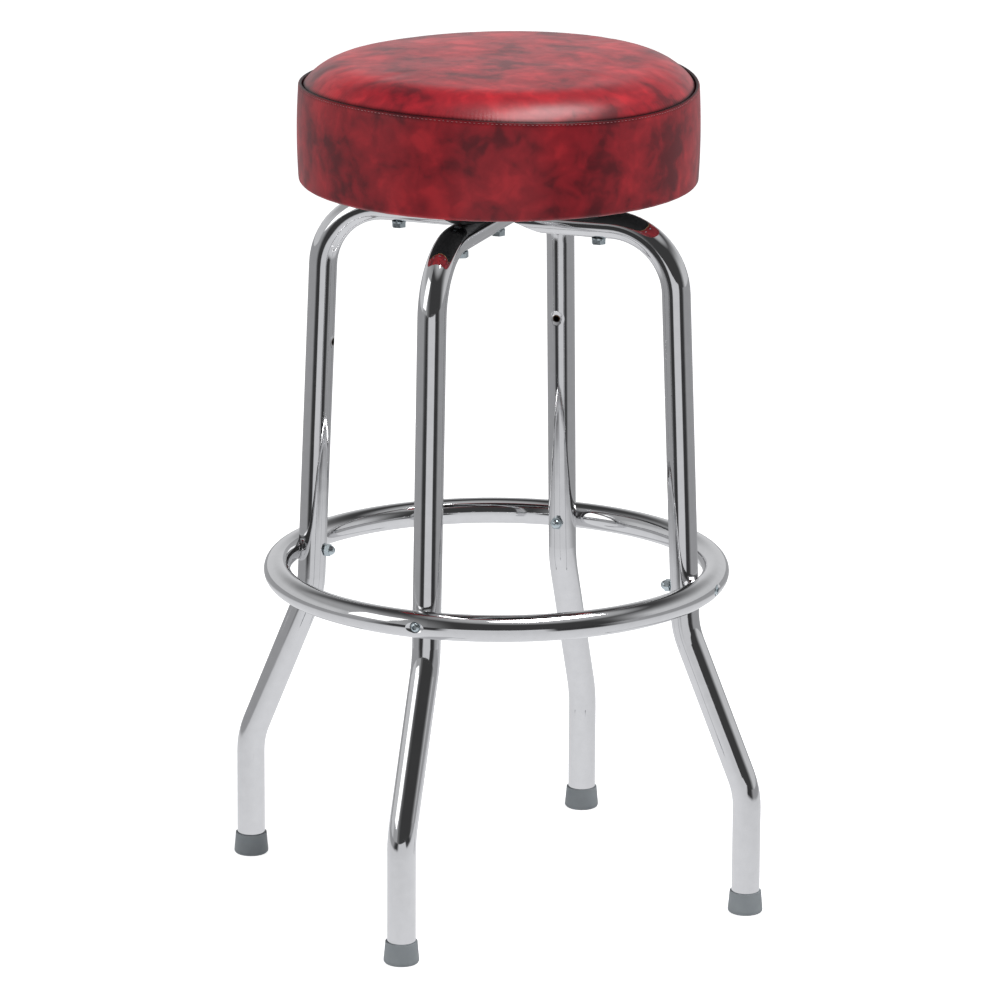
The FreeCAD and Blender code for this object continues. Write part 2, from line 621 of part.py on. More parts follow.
def cap_nuts():
    """Domed nuts on the inner side of each leg."""
    body = new_body("ring_cap_nuts")
    skirt_sketch = new_sketch(body, "cap_nut_skirt_outline", role="YZ_Plane",
                              height="(" + CAP_NUT_SEAT + " - dims.cap_nut_skirt)")
    hexagon(skirt_sketch, CAP_NUT_CORNER_RADIUS, ("0", "dims.ring_height"))
    skirt = pad(body, "cap_nut_skirt", skirt_sketch, "dims.cap_nut_skirt")
    dome_sketch = new_sketch(body, "cap_nut_dome_outline", role="XZ_Plane")
    dome_base = "(" + CAP_NUT_SEAT + " - dims.cap_nut_skirt)"
    outline(dome_sketch, (dome_base, "dims.ring_height"), [
        ("line", dome_base, "(dims.ring_height + dims.cap_nut_dome)"),
        ("arc", "(" + dome_base + " - dims.cap_nut_dome)", "dims.ring_height", "dims.cap_nut_dome"),
        ("line", dome_base, "dims.ring_height")])
    dome = body.newObject("PartDesign::Revolution", "cap_nut_dome")
    dome.Profile = dome_sketch
    dome.ReferenceAxis = (dome_sketch, ["Edge3"])
    dome.Angle = 360
    bore_sketch = new_sketch(body, "cap_nut_bore_outline", role="YZ_Plane",
                             height="(" + CAP_NUT_SEAT + " - dims.cap_nut_skirt - dims.thread_gap)")
    circle(bore_sketch, "(dims.bolt_diameter / 2 + dims.thread_gap)", ("0", "dims.ring_height"))
    doc.recompute()
    bore = cut_through(body, "cap_nut_bore", bore_sketch, "2 * dims.cap_nut_skirt")
    repeat_round(body, "ring_cap_nuts_round", [skirt, dome, bore], "4")
    return body


# Rubber foot tips

def foot_tip(name, bearing):
    """Slip-on rubber cup under one leg."""
    body = new_body(name)
    sketch = new_sketch(body, name + "_outline", role="XZ_Plane")
    outer_foot = "dims.tip_bottom_diameter / 2"
    outer_mouth = "dims.tip_top_diameter / 2"
    bore = "(dims.tube_diameter / 2 + dims.tip_gap)"
    outline(sketch, ("0", "0"), [
        ("line", "(" + outer_foot + " - dims.tip_edge)", "0"),
        ("arc", outer_foot, "dims.tip_edge", "dims.tip_edge"),
        ("line", outer_mouth, "dims.tip_height"),
        ("line", bore, "dims.tip_height"),
        ("line", bore, "(dims.tip_floor - dims.tip_gap)"),
        ("line", "0", "(dims.tip_floor - dims.tip_gap)"),
        ("line", "0", "0")])
    turn(body, name + "_cup", sketch)
    return place(body, x="dims.foot_radius * cos(%d deg)" % bearing,
                 y="dims.foot_radius * sin(%d deg)" % bearing)


# Swivel

def rounded_square(sketch):
    """Square of the swivel plates, with a corner on each axis and rounded corners.

    Half the diagonal is where the corner would be. The rounding starts and ends at the
    corner length from it, along the sides.
    """
    tip = "(dims.plate_side / sqrt(2))"
    back = "(dims.plate_corner / sqrt(2))"
    near = "(" + tip + " - " + back + ")"
    quarter = [(near, "-" + back), (near, back), (back, near), ("-" + back, near),
               ("-" + near, back), ("-" + near, "-" + back), ("-" + back, "-" + near), (back, "-" + near)]
    steps = []
    for index in range(1, 9):
        u, v = quarter[index % 8]
        if index % 2 == 1:
            steps.append(("arc", u, v, "dims.plate_corner"))
        else:
            steps.append(("line", u, v))
    outline(sketch, quarter[0], steps)


def track_groove(body, name):
    """Ball groove cut in a plate."""
    sketch = new_sketch(body, name + "_outline", role="XZ_Plane")
    circle(sketch, "(dims.ball_diameter / 2 + dims.track_clearance)", ("dims.track_radius", BALL_HEIGHT))
    doc.recompute()
    return turn(body, name, sketch, "PartDesign::Groove")


def holes_round(body, name, radius, diameter, bottom, length, count):
    """Round holes, repeated round the upright axis."""
    sketch = new_sketch(body, name + "_outline", height=bottom + " - 1")
    circle(sketch, diameter + " / 2", (radius, "0"))
    doc.recompute()
    hole = cut_through(body, name + "_first", sketch, length + " + 2")
    return repeat_round(body, name, [hole], count)


def swivel_lower_plate():
    """Square plate bolted to the frame, with a raised deck for the balls."""
    body = new_body("swivel_lower_plate")
    plate_sketch = new_sketch(body, "lower_plate_outline", height=FRAME_TOP)
    rounded_square(plate_sketch)
    circle(plate_sketch, "(dims.deck_foot_radius + 1)")
    pad(body, "lower_plate_flat", plate_sketch, "dims.plate_thickness")
    deck_sketch = new_sketch(body, "lower_plate_deck_outline", role="XZ_Plane")
    foot = "dims.deck_foot_radius"
    outer = "dims.deck_outer_radius"
    outline(deck_sketch, ("(" + foot + " + 3)", FRAME_TOP), [
        ("line", "(" + foot + " + 3)", PLATE_TOP),
        ("line", foot, PLATE_TOP),
        ("line", outer, DECK_TOP),
        ("line", "dims.deck_inner_radius", DECK_TOP),
        ("line", "dims.deck_inner_radius", DECK_BOTTOM),
        ("line", "(" + outer + " - dims.plate_thickness)", DECK_BOTTOM),
        ("line", "(" + foot + " - dims.plate_thickness)", FRAME_TOP),
        ("line", "(" + foot + " + 3)", FRAME_TOP)])
    turn(body, "lower_plate_deck", deck_sketch)
    track_groove(body, "lower_plate_track")
    holes_round(body, "lower_plate_bolt_holes", "dims.bolt_circle_radius", BOLT_HOLE,
                FRAME_TOP, "dims.plate_thickness", "4")
    return body


def swivel_upper_plate():
    """Square plate under the seat board, running on the balls."""
    body = new_body("swivel_upper_plate")
    sketch = new_sketch(body, "upper_plate_outline", height=UPPER_PLATE_BOTTOM)
    rounded_square(sketch)
    circle(sketch, "(dims.keeper_inner_radius - 1)")
    pad(body, "upper_plate_flat", sketch, "dims.plate_thickness")
    track_groove(body, "upper_plate_track")
    holes_round(body, "upper_plate_screw_holes", "dims.bolt_circle_radius",
                "(dims.screw_diameter + 2 * dims.thread_gap)", UPPER_PLATE_BOTTOM,
                "dims.plate_thickness", "4")
    holes_round(body, "upper_plate_rivet_holes", "dims.rivet_circle_radius",
                "(dims.rivet_diameter + 2 * dims.thread_gap)", UPPER_PLATE_BOTTOM,
                "dims.plate_thickness", "dims.rivet_count")
    return body


def swivel_balls():
    """Bearing balls in their track."""
    body = new_body("swivel_balls")
    first = body.newObject("PartDesign::AdditiveSphere", "first_ball")
    first.AttachmentSupport = [(origin_feature(body, "XY_Plane"), "")]
    first.MapMode = "FlatFace"
    bind(first, "AttachmentOffset.Base.x", "dims.track_radius")
    bind(first, "AttachmentOffset.Base.z", BALL_HEIGHT)
    bind(first, "Radius", "dims.ball_diameter / 2")
    doc.recompute()
    repeat_round(body, "balls_round", [first], "dims.ball_count")
    return body


def ball_cage():
    """Flat ring that keeps the balls apart."""
    body = new_body("ball_cage")
    bottom = "(" + BALL_HEIGHT + " - dims.cage_thickness / 2)"
    sketch = new_sketch(body, "cage_outline", height=bottom)
    circle(sketch, "(dims.track_radius + dims.cage_width / 2)")
    circle(sketch, "(dims.track_radius - dims.cage_width / 2)")
    pad(body, "cage_ring", sketch, "dims.cage_thickness")
    holes_round(body, "cage_pockets", "dims.track_radius", "(dims.ball_diameter + 2 * dims.cage_pocket_gap)",
                bottom, "dims.cage_thickness", "dims.ball_count")
    return body


def keeper_ring():
    """Flanged ring riveted to the upper plate that hooks under the deck."""
    body = new_body("swivel_keeper_ring")
    sketch = new_sketch(body, "keeper_outline", role="XZ_Plane")
    wall = "dims.keeper_wall_radius"
    wall_inside = "(dims.keeper_wall_radius - dims.keeper_thickness)"
    flange_bottom = "(" + KEEPER_FLANGE_TOP + " - dims.keeper_thickness)"
    outline(sketch, (wall_inside, flange_bottom), [
        ("line", "dims.keeper_outer_radius", flange_bottom),
        ("line", "dims.keeper_outer_radius", KEEPER_FLANGE_TOP),
        ("line", wall, KEEPER_FLANGE_TOP),
        ("line", wall, KEEPER_TOP),
        ("line", "dims.keeper_inner_radius", KEEPER_TOP),
        ("line", "dims.keeper_inner_radius", "(" + KEEPER_TOP + " - dims.keeper_thickness)"),
        ("line", wall_inside, "(" + KEEPER_TOP + " - dims.keeper_thickness)"),
        ("line", wall_inside, flange_bottom)])
    turn(body, "keeper", sketch)
    holes_round(body, "keeper_rivet_holes", "dims.rivet_circle_radius",
                "(dims.rivet_diameter + 2 * dims.thread_gap)",
                "(" + KEEPER_TOP + " - dims.keeper_thickness)", "dims.keeper_thickness", "dims.rivet_count")
    return body


def headed_pins(name, radius, head_bottom, head, head_height, shank, top, count):
    """Upright rivets or screws with their heads below, repeated round the upright axis."""
    body = new_body(name)
    head_sketch = new_sketch(body, name + "_head_outline", height=head_bottom)
    circle(head_sketch, head + " / 2", (radius, "0"))
    head_pad = pad(body, name + "_head", head_sketch, head_height)
    shank_bottom = "(" + head_bottom + " + " + head_height + ")"
    shank_sketch = new_sketch(body, name + "_shank_outline", height=shank_bottom)
    circle(shank_sketch, shank + " / 2", (radius, "0"))
    shank_pad = pad(body, name + "_shank", shank_sketch, top + " - " + shank_bottom)
    repeat_round(body, name + "_round", [head_pad, shank_pad], count)
    return body


# Seat

def staple_legs_outline(body, name, height, grow):
    """The two legs of one staple, seen from above."""
    sketch = new_sketch(body, name, height=height)
    half = "(dims.staple_wire / 2 + " + grow + ")"
    for side, word in ((1, "plus"), (-1, "minus")):
        middle = "(%d * (dims.staple_crown / 2 - dims.staple_wire / 2))" % side
        rectangle(sketch, "(dims.staple_circle_radius - " + half + ")",
                  "(dims.staple_circle_radius + " + half + ")",
                  "(" + middle + " - " + half + ")", "(" + middle + " + " + half + ")")
    return sketch


def staple_slots(body, name):
    """Slots of every staple leg in the piece that the staples go through."""
    sketch = staple_legs_outline(body, name + "_outline", SEAT_BOTTOM + " - 1", "dims.thread_gap")
    doc.recompute()
    slot = cut_through(body, name + "_first", sketch, "dims.staple_leg + 1")
    return repeat_round(body, name, [slot], "dims.staple_count")


def cover_staples():
    """Wire staples that hold the cover and the dust cover to the board."""
    body = new_body("cover_staples")
    crown_sketch = new_sketch(body, "staple_crown_outline", height="(" + SEAT_BOTTOM + " - dims.staple_wire)")
    half_wire = "(dims.staple_wire / 2)"
    rectangle(crown_sketch, "(dims.staple_circle_radius - " + half_wire + ")",
              "(dims.staple_circle_radius + " + half_wire + ")",
              "(-dims.staple_crown / 2)", "(dims.staple_crown / 2)")
    crown = pad(body, "staple_crown_wire", crown_sketch, "dims.staple_wire")
    legs_sketch = staple_legs_outline(body, "staple_legs_outline", SEAT_BOTTOM, "0")
    legs = pad(body, "staple_legs", legs_sketch, "dims.staple_leg - dims.thread_gap")
    repeat_round(body, "cover_staples_round", [crown, legs], "dims.staple_count")
    return body


def seat_board():
    """Round plywood board that carries the cushion."""
    body = new_body("seat_board")
    sketch = new_sketch(body, "board_outline", height=BOARD_BOTTOM)
    circle(sketch, BOARD_RADIUS)
    pad(body, "board", sketch, "dims.board_thickness")
    holes_round(body, "board_screw_holes", "dims.bolt_circle_radius",
                "(dims.screw_diameter + 2 * dims.thread_gap)", BOARD_BOTTOM,
                "dims.screw_length - dims.plate_thickness - dims.dust_cover_thickness - 1", "4")
    staple_slots(body, "board_staple_slots")
    return body


def dust_cover():
    """Thin black cloth over the underside of the board, under the swivel plate."""
    body = new_body("dust_cover")
    sketch = new_sketch(body, "dust_cover_outline", height=UPPER_PLATE_TOP)
    circle(sketch, "(" + BAND_INNER + " - dims.cover_turn_in)")
    pad(body, "dust_cover_cloth", sketch, "dims.dust_cover_thickness")
    holes_round(body, "dust_cover_screw_holes", "dims.bolt_circle_radius",
                "(dims.screw_diameter + 2 * dims.thread_gap)", UPPER_PLATE_TOP,
                "dims.dust_cover_thickness", "4")
    return body


def shoulder_radius(inset, edge_radius, edge_height):
    """Radius of the shoulder that leaves the crown smoothly for its edge."""
    drop = "(" + CROWN_SHOULDER_HEIGHT + " - " + inset + " - " + edge_height + ")"
    run = "(" + edge_radius + " - dims.crown_flat_radius)"
    half_turn = "(atan(" + drop + " / " + run + ") - " + CROWN_END_SLOPE + ")"
    return "(sqrt(" + run + " * " + run + " + " + drop + " * " + drop + ") / 2 / sin(" + half_turn + "))"


def crown_steps(inset, edge_radius, edge_height):
    """Crown and shoulder from the middle outwards, lowered by an inset."""
    shoulder = shoulder_radius(inset, edge_radius, edge_height)
    crown_end = "(" + CROWN_SHOULDER_HEIGHT + " - " + inset + ")"
    return [("crown", "dims.crown_flat_radius", crown_end, "-" + CROWN_BALL_RADIUS),
            ("arc", edge_radius, edge_height, "-" + shoulder)]


def foam_pad():
    """Foam on the board and round its edge, crowned on top."""
    body = new_body("foam_pad")
    sketch = new_sketch(body, "foam_outline", role="XZ_Plane")
    inset = "(dims.cover_thickness + dims.cover_gap)"
    edge = "(" + CROWN_EDGE_RADIUS + " - 2 * dims.cover_thickness - dims.cover_gap)"
    board_edge = "(" + BOARD_RADIUS + " + dims.cover_gap)"
    outline(sketch, ("0", "(" + CROWN_TOP + " - " + inset + ")"), crown_steps(
        inset, edge, "(" + CROWN_EDGE_HEIGHT + " - " + inset + ")") + [
            ("line", edge, "(" + CROWN_EDGE_HEIGHT + " - 4 * dims.cover_thickness)"),
            ("line", FOAM_RADIUS, "(" + CROWN_EDGE_HEIGHT + " - 6 * dims.cover_thickness)"),
            ("line", FOAM_RADIUS, "(" + BOARD_BOTTOM + " + 2 * dims.cover_thickness)"),
            ("line", "(" + FOAM_RADIUS + " - 2 * dims.cover_thickness)",
             "(" + BOARD_BOTTOM + " + dims.cover_gap)"),
            ("line", board_edge, "(" + BOARD_BOTTOM + " + dims.cover_gap)"),
            ("line", board_edge, "(" + BOARD_TOP + " + dims.cover_gap)"),
            ("line", "0", "(" + BOARD_TOP + " + dims.cover_gap)"),
            ("line", "0", "(" + CROWN_TOP + " - " + inset + ")")])
    turn(body, "foam", sketch)
    return body


def cover_top():
    """Vinyl top panel: crowned, with a rounded shoulder down into the seam."""
    body = new_body("seat_cover_top")
    sketch = new_sketch(body, "cover_top_outline", role="XZ_Plane")
    inner_edge = "(" + CROWN_EDGE_RADIUS + " - dims.cover_thickness)"
    tail = "(" + CROWN_EDGE_HEIGHT + " - 2 * dims.cover_thickness)"
    inner_shoulder = shoulder_radius("dims.cover_thickness", inner_edge, CROWN_EDGE_HEIGHT)
    outline(sketch, ("0", CROWN_TOP), crown_steps("0", CROWN_EDGE_RADIUS, CROWN_EDGE_HEIGHT) + [
        ("line", CROWN_EDGE_RADIUS, tail),
        ("line", inner_edge, tail),
        ("line", inner_edge, CROWN_EDGE_HEIGHT),
        ("arc", "dims.crown_flat_radius", "(" + CROWN_SHOULDER_HEIGHT + " - dims.cover_thickness)",
         inner_shoulder),
        ("crown", "0", "(" + CROWN_TOP + " - dims.cover_thickness)", CROWN_BALL_RADIUS),
        ("line", "0", CROWN_TOP)])
    turn(body, "cover_top_panel", sketch)
    return body


def cover_band():
    """Vinyl side band, with a lip outside the seam and its lower edge turned in."""
    body = new_body("seat_cover_band")
    sketch = new_sketch(body, "cover_band_outline", role="XZ_Plane")
    wall = "dims.cover_thickness"
    edge = "(dims.seat_diameter / 2 - dims.band_draw_in)"
    inside = "(" + edge + " - " + wall + ")"
    seam = "(" + CROWN_EDGE_RADIUS + " + dims.cover_gap)"
    lip = "((" + edge + " - " + seam + ") / 2)"
    lip_base = "(" + SEAM_TOP + " - " + lip + ")"
    tail = "(" + CROWN_EDGE_HEIGHT + " - 2 * dims.cover_thickness)"
    lower_edge = "(" + SEAT_BOTTOM + " + 3 * dims.cover_thickness)"
    turned_in = "(" + edge + " - dims.cover_turn_in)"
    half = "((" + lip_base + " - " + lower_edge + ") / 2)"
    bulge = "((" + half + " * " + half + " + dims.band_draw_in * dims.band_draw_in) / 2 / dims.band_draw_in)"
    outline(sketch, (edge, lower_edge), [
        ("arc", edge, lip_base, bulge),
        ("arc", seam, lip_base, "(1.02 * " + lip + ")"),
        ("line", seam, tail),
        ("line", "(" + seam + " + " + wall + ")", tail),
        ("line", "(" + seam + " + " + wall + ")", "(" + tail + " - 2 * " + wall + ")"),
        ("line", inside, "(" + tail + " - 4 * " + wall + ")"),
        ("line", inside, "(" + SEAT_BOTTOM + " + 2.5 * " + wall + ")"),
        ("line", "(" + inside + " - 1.5 * " + wall + ")", "(" + SEAT_BOTTOM + " + " + wall + ")"),
        ("line", turned_in, "(" + SEAT_BOTTOM + " + " + wall + ")"),
        ("line", turned_in, SEAT_BOTTOM),
        ("line", "(" + edge + " - 3 * " + wall + ")", SEAT_BOTTOM),
        ("arc", edge, lower_edge, "(3 * " + wall + ")")])
    turn(body, "cover_band_wall", sketch)
    staple_slots(body, "band_staple_slots")
    return body


# The sub-parts, from the floor up

SHANK_END = "(" + PLATE_TOP + " + dims.nut_height + dims.bolt_end)"
CROSSING_END = "(" + FRAME_TOP + " + dims.nut_height + dims.bolt_end)"

sub_parts = [foot_tip("foot_tip_" + word, bearing) for word, bearing in (
    ("right", 0), ("back", 90), ("left", 180), ("front", 270))]
sub_parts += [
    leg_frame("leg_frame_upper", False, True),
    leg_frame("leg_frame_lower", True, False),
    foot_ring(),
    ring_bolts(),
    cap_nuts(),
    hex_bolts("crossing_bolt", "0", "1", CROSSING_END),
    lock_washers("crossing_washer", "0", "1"),
    hex_nuts("crossing_nut", "0", "1", FRAME_TOP),
    swivel_lower_plate(),
    hex_bolts("plate_bolts", "dims.bolt_circle_radius", "4", SHANK_END),
    lock_washers("plate_bolt_washers", "dims.bolt_circle_radius", "4"),
    hex_nuts("plate_bolt_nuts", "dims.bolt_circle_radius", "4", PLATE_TOP),
    swivel_balls(),
    ball_cage(),
    keeper_ring(),
    headed_pins("keeper_rivets", "dims.rivet_circle_radius",
                "(" + KEEPER_TOP + " - dims.keeper_thickness - dims.rivet_head_height)",
                "dims.rivet_head_diameter", "dims.rivet_head_height", "dims.rivet_diameter",
                UPPER_PLATE_TOP, "dims.rivet_count"),
    swivel_upper_plate(),
    headed_pins("seat_board_screws", "dims.bolt_circle_radius",
                "(" + UPPER_PLATE_BOTTOM + " - dims.screw_head_height)",
                "dims.screw_head_diameter", "dims.screw_head_height", "dims.screw_diameter",
                "(" + UPPER_PLATE_BOTTOM + " + dims.screw_length - dims.thread_gap)", "4"),
    dust_cover(),
    seat_board(),
    foam_pad(),
    cover_band(),
    cover_top(),
    cover_staples(),
]

doc.recompute()

# Checks on the document, then one file for each sub-part
for thing in doc.Objects:
    if "Invalid" in thing.State or "Error" in thing.State:
        raise RuntimeError("failed object: " + thing.Name + " " + str(thing.State))
for sub_part in sub_parts:
    if sub_part.Shape.isNull() or not sub_part.Shape.isValid():
        raise RuntimeError("bad shape: " + sub_part.Name)

os.makedirs("parts", exist_ok=True)
for sub_part in sub_parts:
    sub_part.Label = sub_part.Name
    sub_part.Shape.exportStep("parts/" + sub_part.Label + ".step")
    box = sub_part.Shape.BoundBox
    print("%-22s solids %2d  volume %10.1f  z %.2f to %.2f" % (
        sub_part.Label, len(sub_part.Shape.Solids), sub_part.Shape.Volume, box.ZMin, box.ZMax))
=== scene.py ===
import math

import bmesh
import bpy
import numpy as np
from mathutils import Matrix, Vector


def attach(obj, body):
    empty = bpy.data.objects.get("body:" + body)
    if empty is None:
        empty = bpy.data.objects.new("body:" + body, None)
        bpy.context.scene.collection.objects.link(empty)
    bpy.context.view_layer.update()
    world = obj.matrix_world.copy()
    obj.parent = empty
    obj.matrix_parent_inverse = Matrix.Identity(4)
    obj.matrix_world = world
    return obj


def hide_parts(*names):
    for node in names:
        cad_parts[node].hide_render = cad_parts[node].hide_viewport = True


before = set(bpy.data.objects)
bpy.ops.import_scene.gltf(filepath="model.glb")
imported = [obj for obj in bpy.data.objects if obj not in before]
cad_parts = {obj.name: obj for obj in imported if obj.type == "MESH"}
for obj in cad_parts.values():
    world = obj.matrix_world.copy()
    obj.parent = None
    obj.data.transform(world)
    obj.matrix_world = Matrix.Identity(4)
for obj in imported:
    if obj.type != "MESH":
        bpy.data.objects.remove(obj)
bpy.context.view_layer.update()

# A diner counter stool: four chrome legs from two bent tubes that cross under the seat, a foot
# ring bolted round them, rubber tips, a ball-bearing swivel and a boxed vinyl cushion.
# The pieces follow in the order in which the stool is put together, from the floor up.


# Foot tips
# Slip-on cups of moulded grey rubber, one pushed over the end of each leg. The skin is dull,
# with a fine spark-eroded mould texture and a faint rubbed band near the floor.

def linear(code):
    """sRGB hex colour as linear light: each channel minus its toe, to the power 2.4."""
    share = np.array([int(code[i:i + 2], 16) for i in (1, 3, 5)]) / 255
    light = np.where(share <= 0.04045, share / 12.92, ((share + 0.055) / 1.055) ** 2.4)
    return (*light.tolist(), 1.0)


def add(tree, kind, inputs, **settings):
    """Adds a node, sets its settings, and gives each input its value or links it to a socket."""
    node = tree.nodes.new(kind)
    for name, value in settings.items():
        setattr(node, name, value)
    for name, value in inputs.items():
        if isinstance(value, bpy.types.NodeSocket):
            tree.links.new(value, node.inputs[name])
        else:
            node.inputs[name].default_value = value
    return node


def new_finish(name):
    """Empty material with its tree, its shader and the piece's own coordinates in metres."""
    finish = bpy.data.materials.new(name)
    finish.use_nodes = True
    tree = finish.node_tree
    shader = tree.nodes["Principled BSDF"]
    place = tree.nodes.new("ShaderNodeTexCoord").outputs["Object"]
    return finish, tree, shader, place


def give(finish, *names):
    """Puts a finish on CAD nodes."""
    for name in names:
        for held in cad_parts[name].material_slots:
            held.material = finish


rubber, tree, shader, place = new_finish("moulded_grey_rubber")
mould = add(tree, "ShaderNodeTexNoise", {"Vector": place, "Scale": 1 / 0.0011, "Detail": 3.0})
cloud = add(tree, "ShaderNodeTexNoise", {"Vector": place, "Scale": 1 / 0.014, "Detail": 4.0})
height = add(tree, "ShaderNodeSeparateXYZ", {"Vector": place})
rubbed = add(tree, "ShaderNodeMapRange", {"Value": height.outputs["Z"], "From Min": 0.0045,
                                          "From Max": 0.0005, "To Min": 0.0, "To Max": 0.55})
tone = add(tree, "ShaderNodeMix", {0: cloud.outputs["Fac"], 6: linear("#858b8f"), 7: linear("#979da1")},
           data_type="RGBA")
worn = add(tree, "ShaderNodeMix", {0: rubbed.outputs["Result"], 6: tone.outputs[2],
                                   7: linear("#6a6f72")}, data_type="RGBA")
tree.links.new(worn.outputs[2], shader.inputs["Base Color"])
dull = add(tree, "ShaderNodeMapRange", {"Value": mould.outputs["Fac"], "To Min": 0.5, "To Max": 0.72})
tree.links.new(dull.outputs["Result"], shader.inputs["Roughness"])
grain = add(tree, "ShaderNodeBump", {"Height": mould.outputs["Fac"], "Strength": 0.35,
                                     "Distance": 0.00012})
tree.links.new(grain.outputs["Normal"], shader.inputs["Normal"])
give(rubber, "foot_tip_right", "foot_tip_back", "foot_tip_left", "foot_tip_front")


# Leg frames and foot ring
# Steel tube, an inch thick for the legs and slightly less for the ring, bent cold and chrome
# plated, with the faint waviness of drawn tube and a haze of polishing marks. The spare hole in
# the inner wall of each leg is punched, so it sits in a shallow dimple with a raw brown edge.

chrome, tree, shader, place = new_finish("chrome_plated_steel_tube")
shader.inputs["Metallic"].default_value = 1.0
wave = add(tree, "ShaderNodeTexNoise", {"Vector": place, "Scale": 1 / 0.045, "Detail": 2.0})
haze = add(tree, "ShaderNodeTexNoise", {"Vector": place, "Scale": 1 / 0.009, "Detail": 6.0})
speck = add(tree, "ShaderNodeTexNoise", {"Vector": place, "Scale": 1 / 0.0016, "Detail": 2.0})
plate = add(tree, "ShaderNodeMix", {0: haze.outputs["Fac"], 6: linear("#cfcfd0"), 7: linear("#dadadb")},
            data_type="RGBA")

# The spare holes lie in the planes of the two frames, so a point's distance from its nearest hole
# follows from how far it is from its frame's plane and from the holes' height. Only the inner
# side of a leg lies within the reach below.
HOLE_HEIGHT = 0.491
INNER_SIDE_REACH = 0.166
parts = add(tree, "ShaderNodeSeparateXYZ", {"Vector": place})
beside_x = add(tree, "ShaderNodeMath", {0: parts.outputs["X"]}, operation="ABSOLUTE")
beside_y = add(tree, "ShaderNodeMath", {0: parts.outputs["Y"]}, operation="ABSOLUTE")
off_frame = add(tree, "ShaderNodeMath", {0: beside_x.outputs[0], 1: beside_y.outputs[0]},
                operation="MINIMUM")
reach = add(tree, "ShaderNodeMath", {0: beside_x.outputs[0], 1: beside_y.outputs[0]},
            operation="MAXIMUM")
over_hole = add(tree, "ShaderNodeMath", {0: parts.outputs["Z"], 1: HOLE_HEIGHT}, operation="SUBTRACT")
to_hole = add(tree, "ShaderNodeCombineXYZ", {"X": off_frame.outputs[0], "Y": over_hole.outputs[0]})
from_hole = add(tree, "ShaderNodeVectorMath", {0: to_hole.outputs["Vector"]}, operation="LENGTH")
outer_wall = add(tree, "ShaderNodeMath", {0: reach.outputs[0], 1: INNER_SIDE_REACH},
                 operation="GREATER_THAN")
raw_edge = add(tree, "ShaderNodeMapRange", {"Value": from_hole.outputs["Value"], "From Min": 0.0031,
                                            "From Max": 0.0039, "To Min": 1.0, "To Max": 0.0})
raw = add(tree, "ShaderNodeMath", {0: raw_edge.outputs["Result"], 1: outer_wall.outputs[0]},
          operation="SUBTRACT", use_clamp=True)
punched = add(tree, "ShaderNodeMix", {0: raw.outputs[0], 6: plate.outputs[2], 7: linear("#4c3826")},
              data_type="RGBA")
tree.links.new(punched.outputs[2], shader.inputs["Base Color"])
polish = add(tree, "ShaderNodeMapRange", {"Value": haze.outputs["Fac"], "From Min": 0.35,
                                          "From Max": 0.75, "To Min": 0.035, "To Max": 0.085})
tree.links.new(polish.outputs["Result"], shader.inputs["Roughness"])
fine = add(tree, "ShaderNodeBump", {"Height": speck.outputs["Fac"], "Strength": 0.05,
                                    "Distance": 0.00005})
drawn = add(tree, "ShaderNodeBump", {"Height": wave.outputs["Fac"], "Strength": 0.4,
                                     "Distance": 0.0004, "Normal": fine.outputs["Normal"]})
dished = add(tree, "ShaderNodeMapRange", {"Value": from_hole.outputs["Value"], "From Min": 0.0022,
                                          "From Max": 0.0075}, interpolation_type="SMOOTHSTEP")
sunk = add(tree, "ShaderNodeMath", {0: dished.outputs["Result"], 1: outer_wall.outputs[0]},
           operation="MAXIMUM")
dimple = add(tree, "ShaderNodeBump", {"Height": sunk.outputs[0], "Strength": 1.0, "Distance": 0.0009,
                                      "Normal": drawn.outputs["Normal"]})
tree.links.new(dimple.outputs["Normal"], shader.inputs["Normal"])
give(chrome, "leg_frame_upper", "leg_frame_lower", "foot_ring")


# Bolts, nuts and washers
# Turned and cold-headed steel with a bright zinc plating: a cool blue-white metal, softer than
# the chrome, with cloudy passivation and small dull spots.

zinc, tree, shader, place = new_finish("bright_zinc_plated_steel")
shader.inputs["Metallic"].default_value = 1.0
spots = add(tree, "ShaderNodeTexNoise", {"Vector": place, "Scale": 1 / 0.0022, "Detail": 5.0})
film = add(tree, "ShaderNodeMix", {0: spots.outputs["Fac"], 6: linear("#a9b6bd"), 7: linear("#cdd6d8")},
           data_type="RGBA")
tree.links.new(film.outputs[2], shader.inputs["Base Color"])
satin = add(tree, "ShaderNodeMapRange", {"Value": spots.outputs["Fac"], "To Min": 0.18, "To Max": 0.42})
tree.links.new(satin.outputs["Result"], shader.inputs["Roughness"])
pits = add(tree, "ShaderNodeBump", {"Height": spots.outputs["Fac"], "Strength": 0.2,
                                    "Distance": 0.00008})
tree.links.new(pits.outputs["Normal"], shader.inputs["Normal"])
give(zinc, "ring_bolts", "ring_cap_nuts", "crossing_bolt", "crossing_washer", "crossing_nut",
     "plate_bolts", "plate_bolt_washers", "plate_bolt_nuts", "keeper_rivets", "seat_board_screws",
     "cover_staples")


# Swivel plates and keeper ring
# Pressed sheet steel, dipped in black enamel: a smooth half-gloss skin with some orange peel and
# thin grey wear where edges rub.

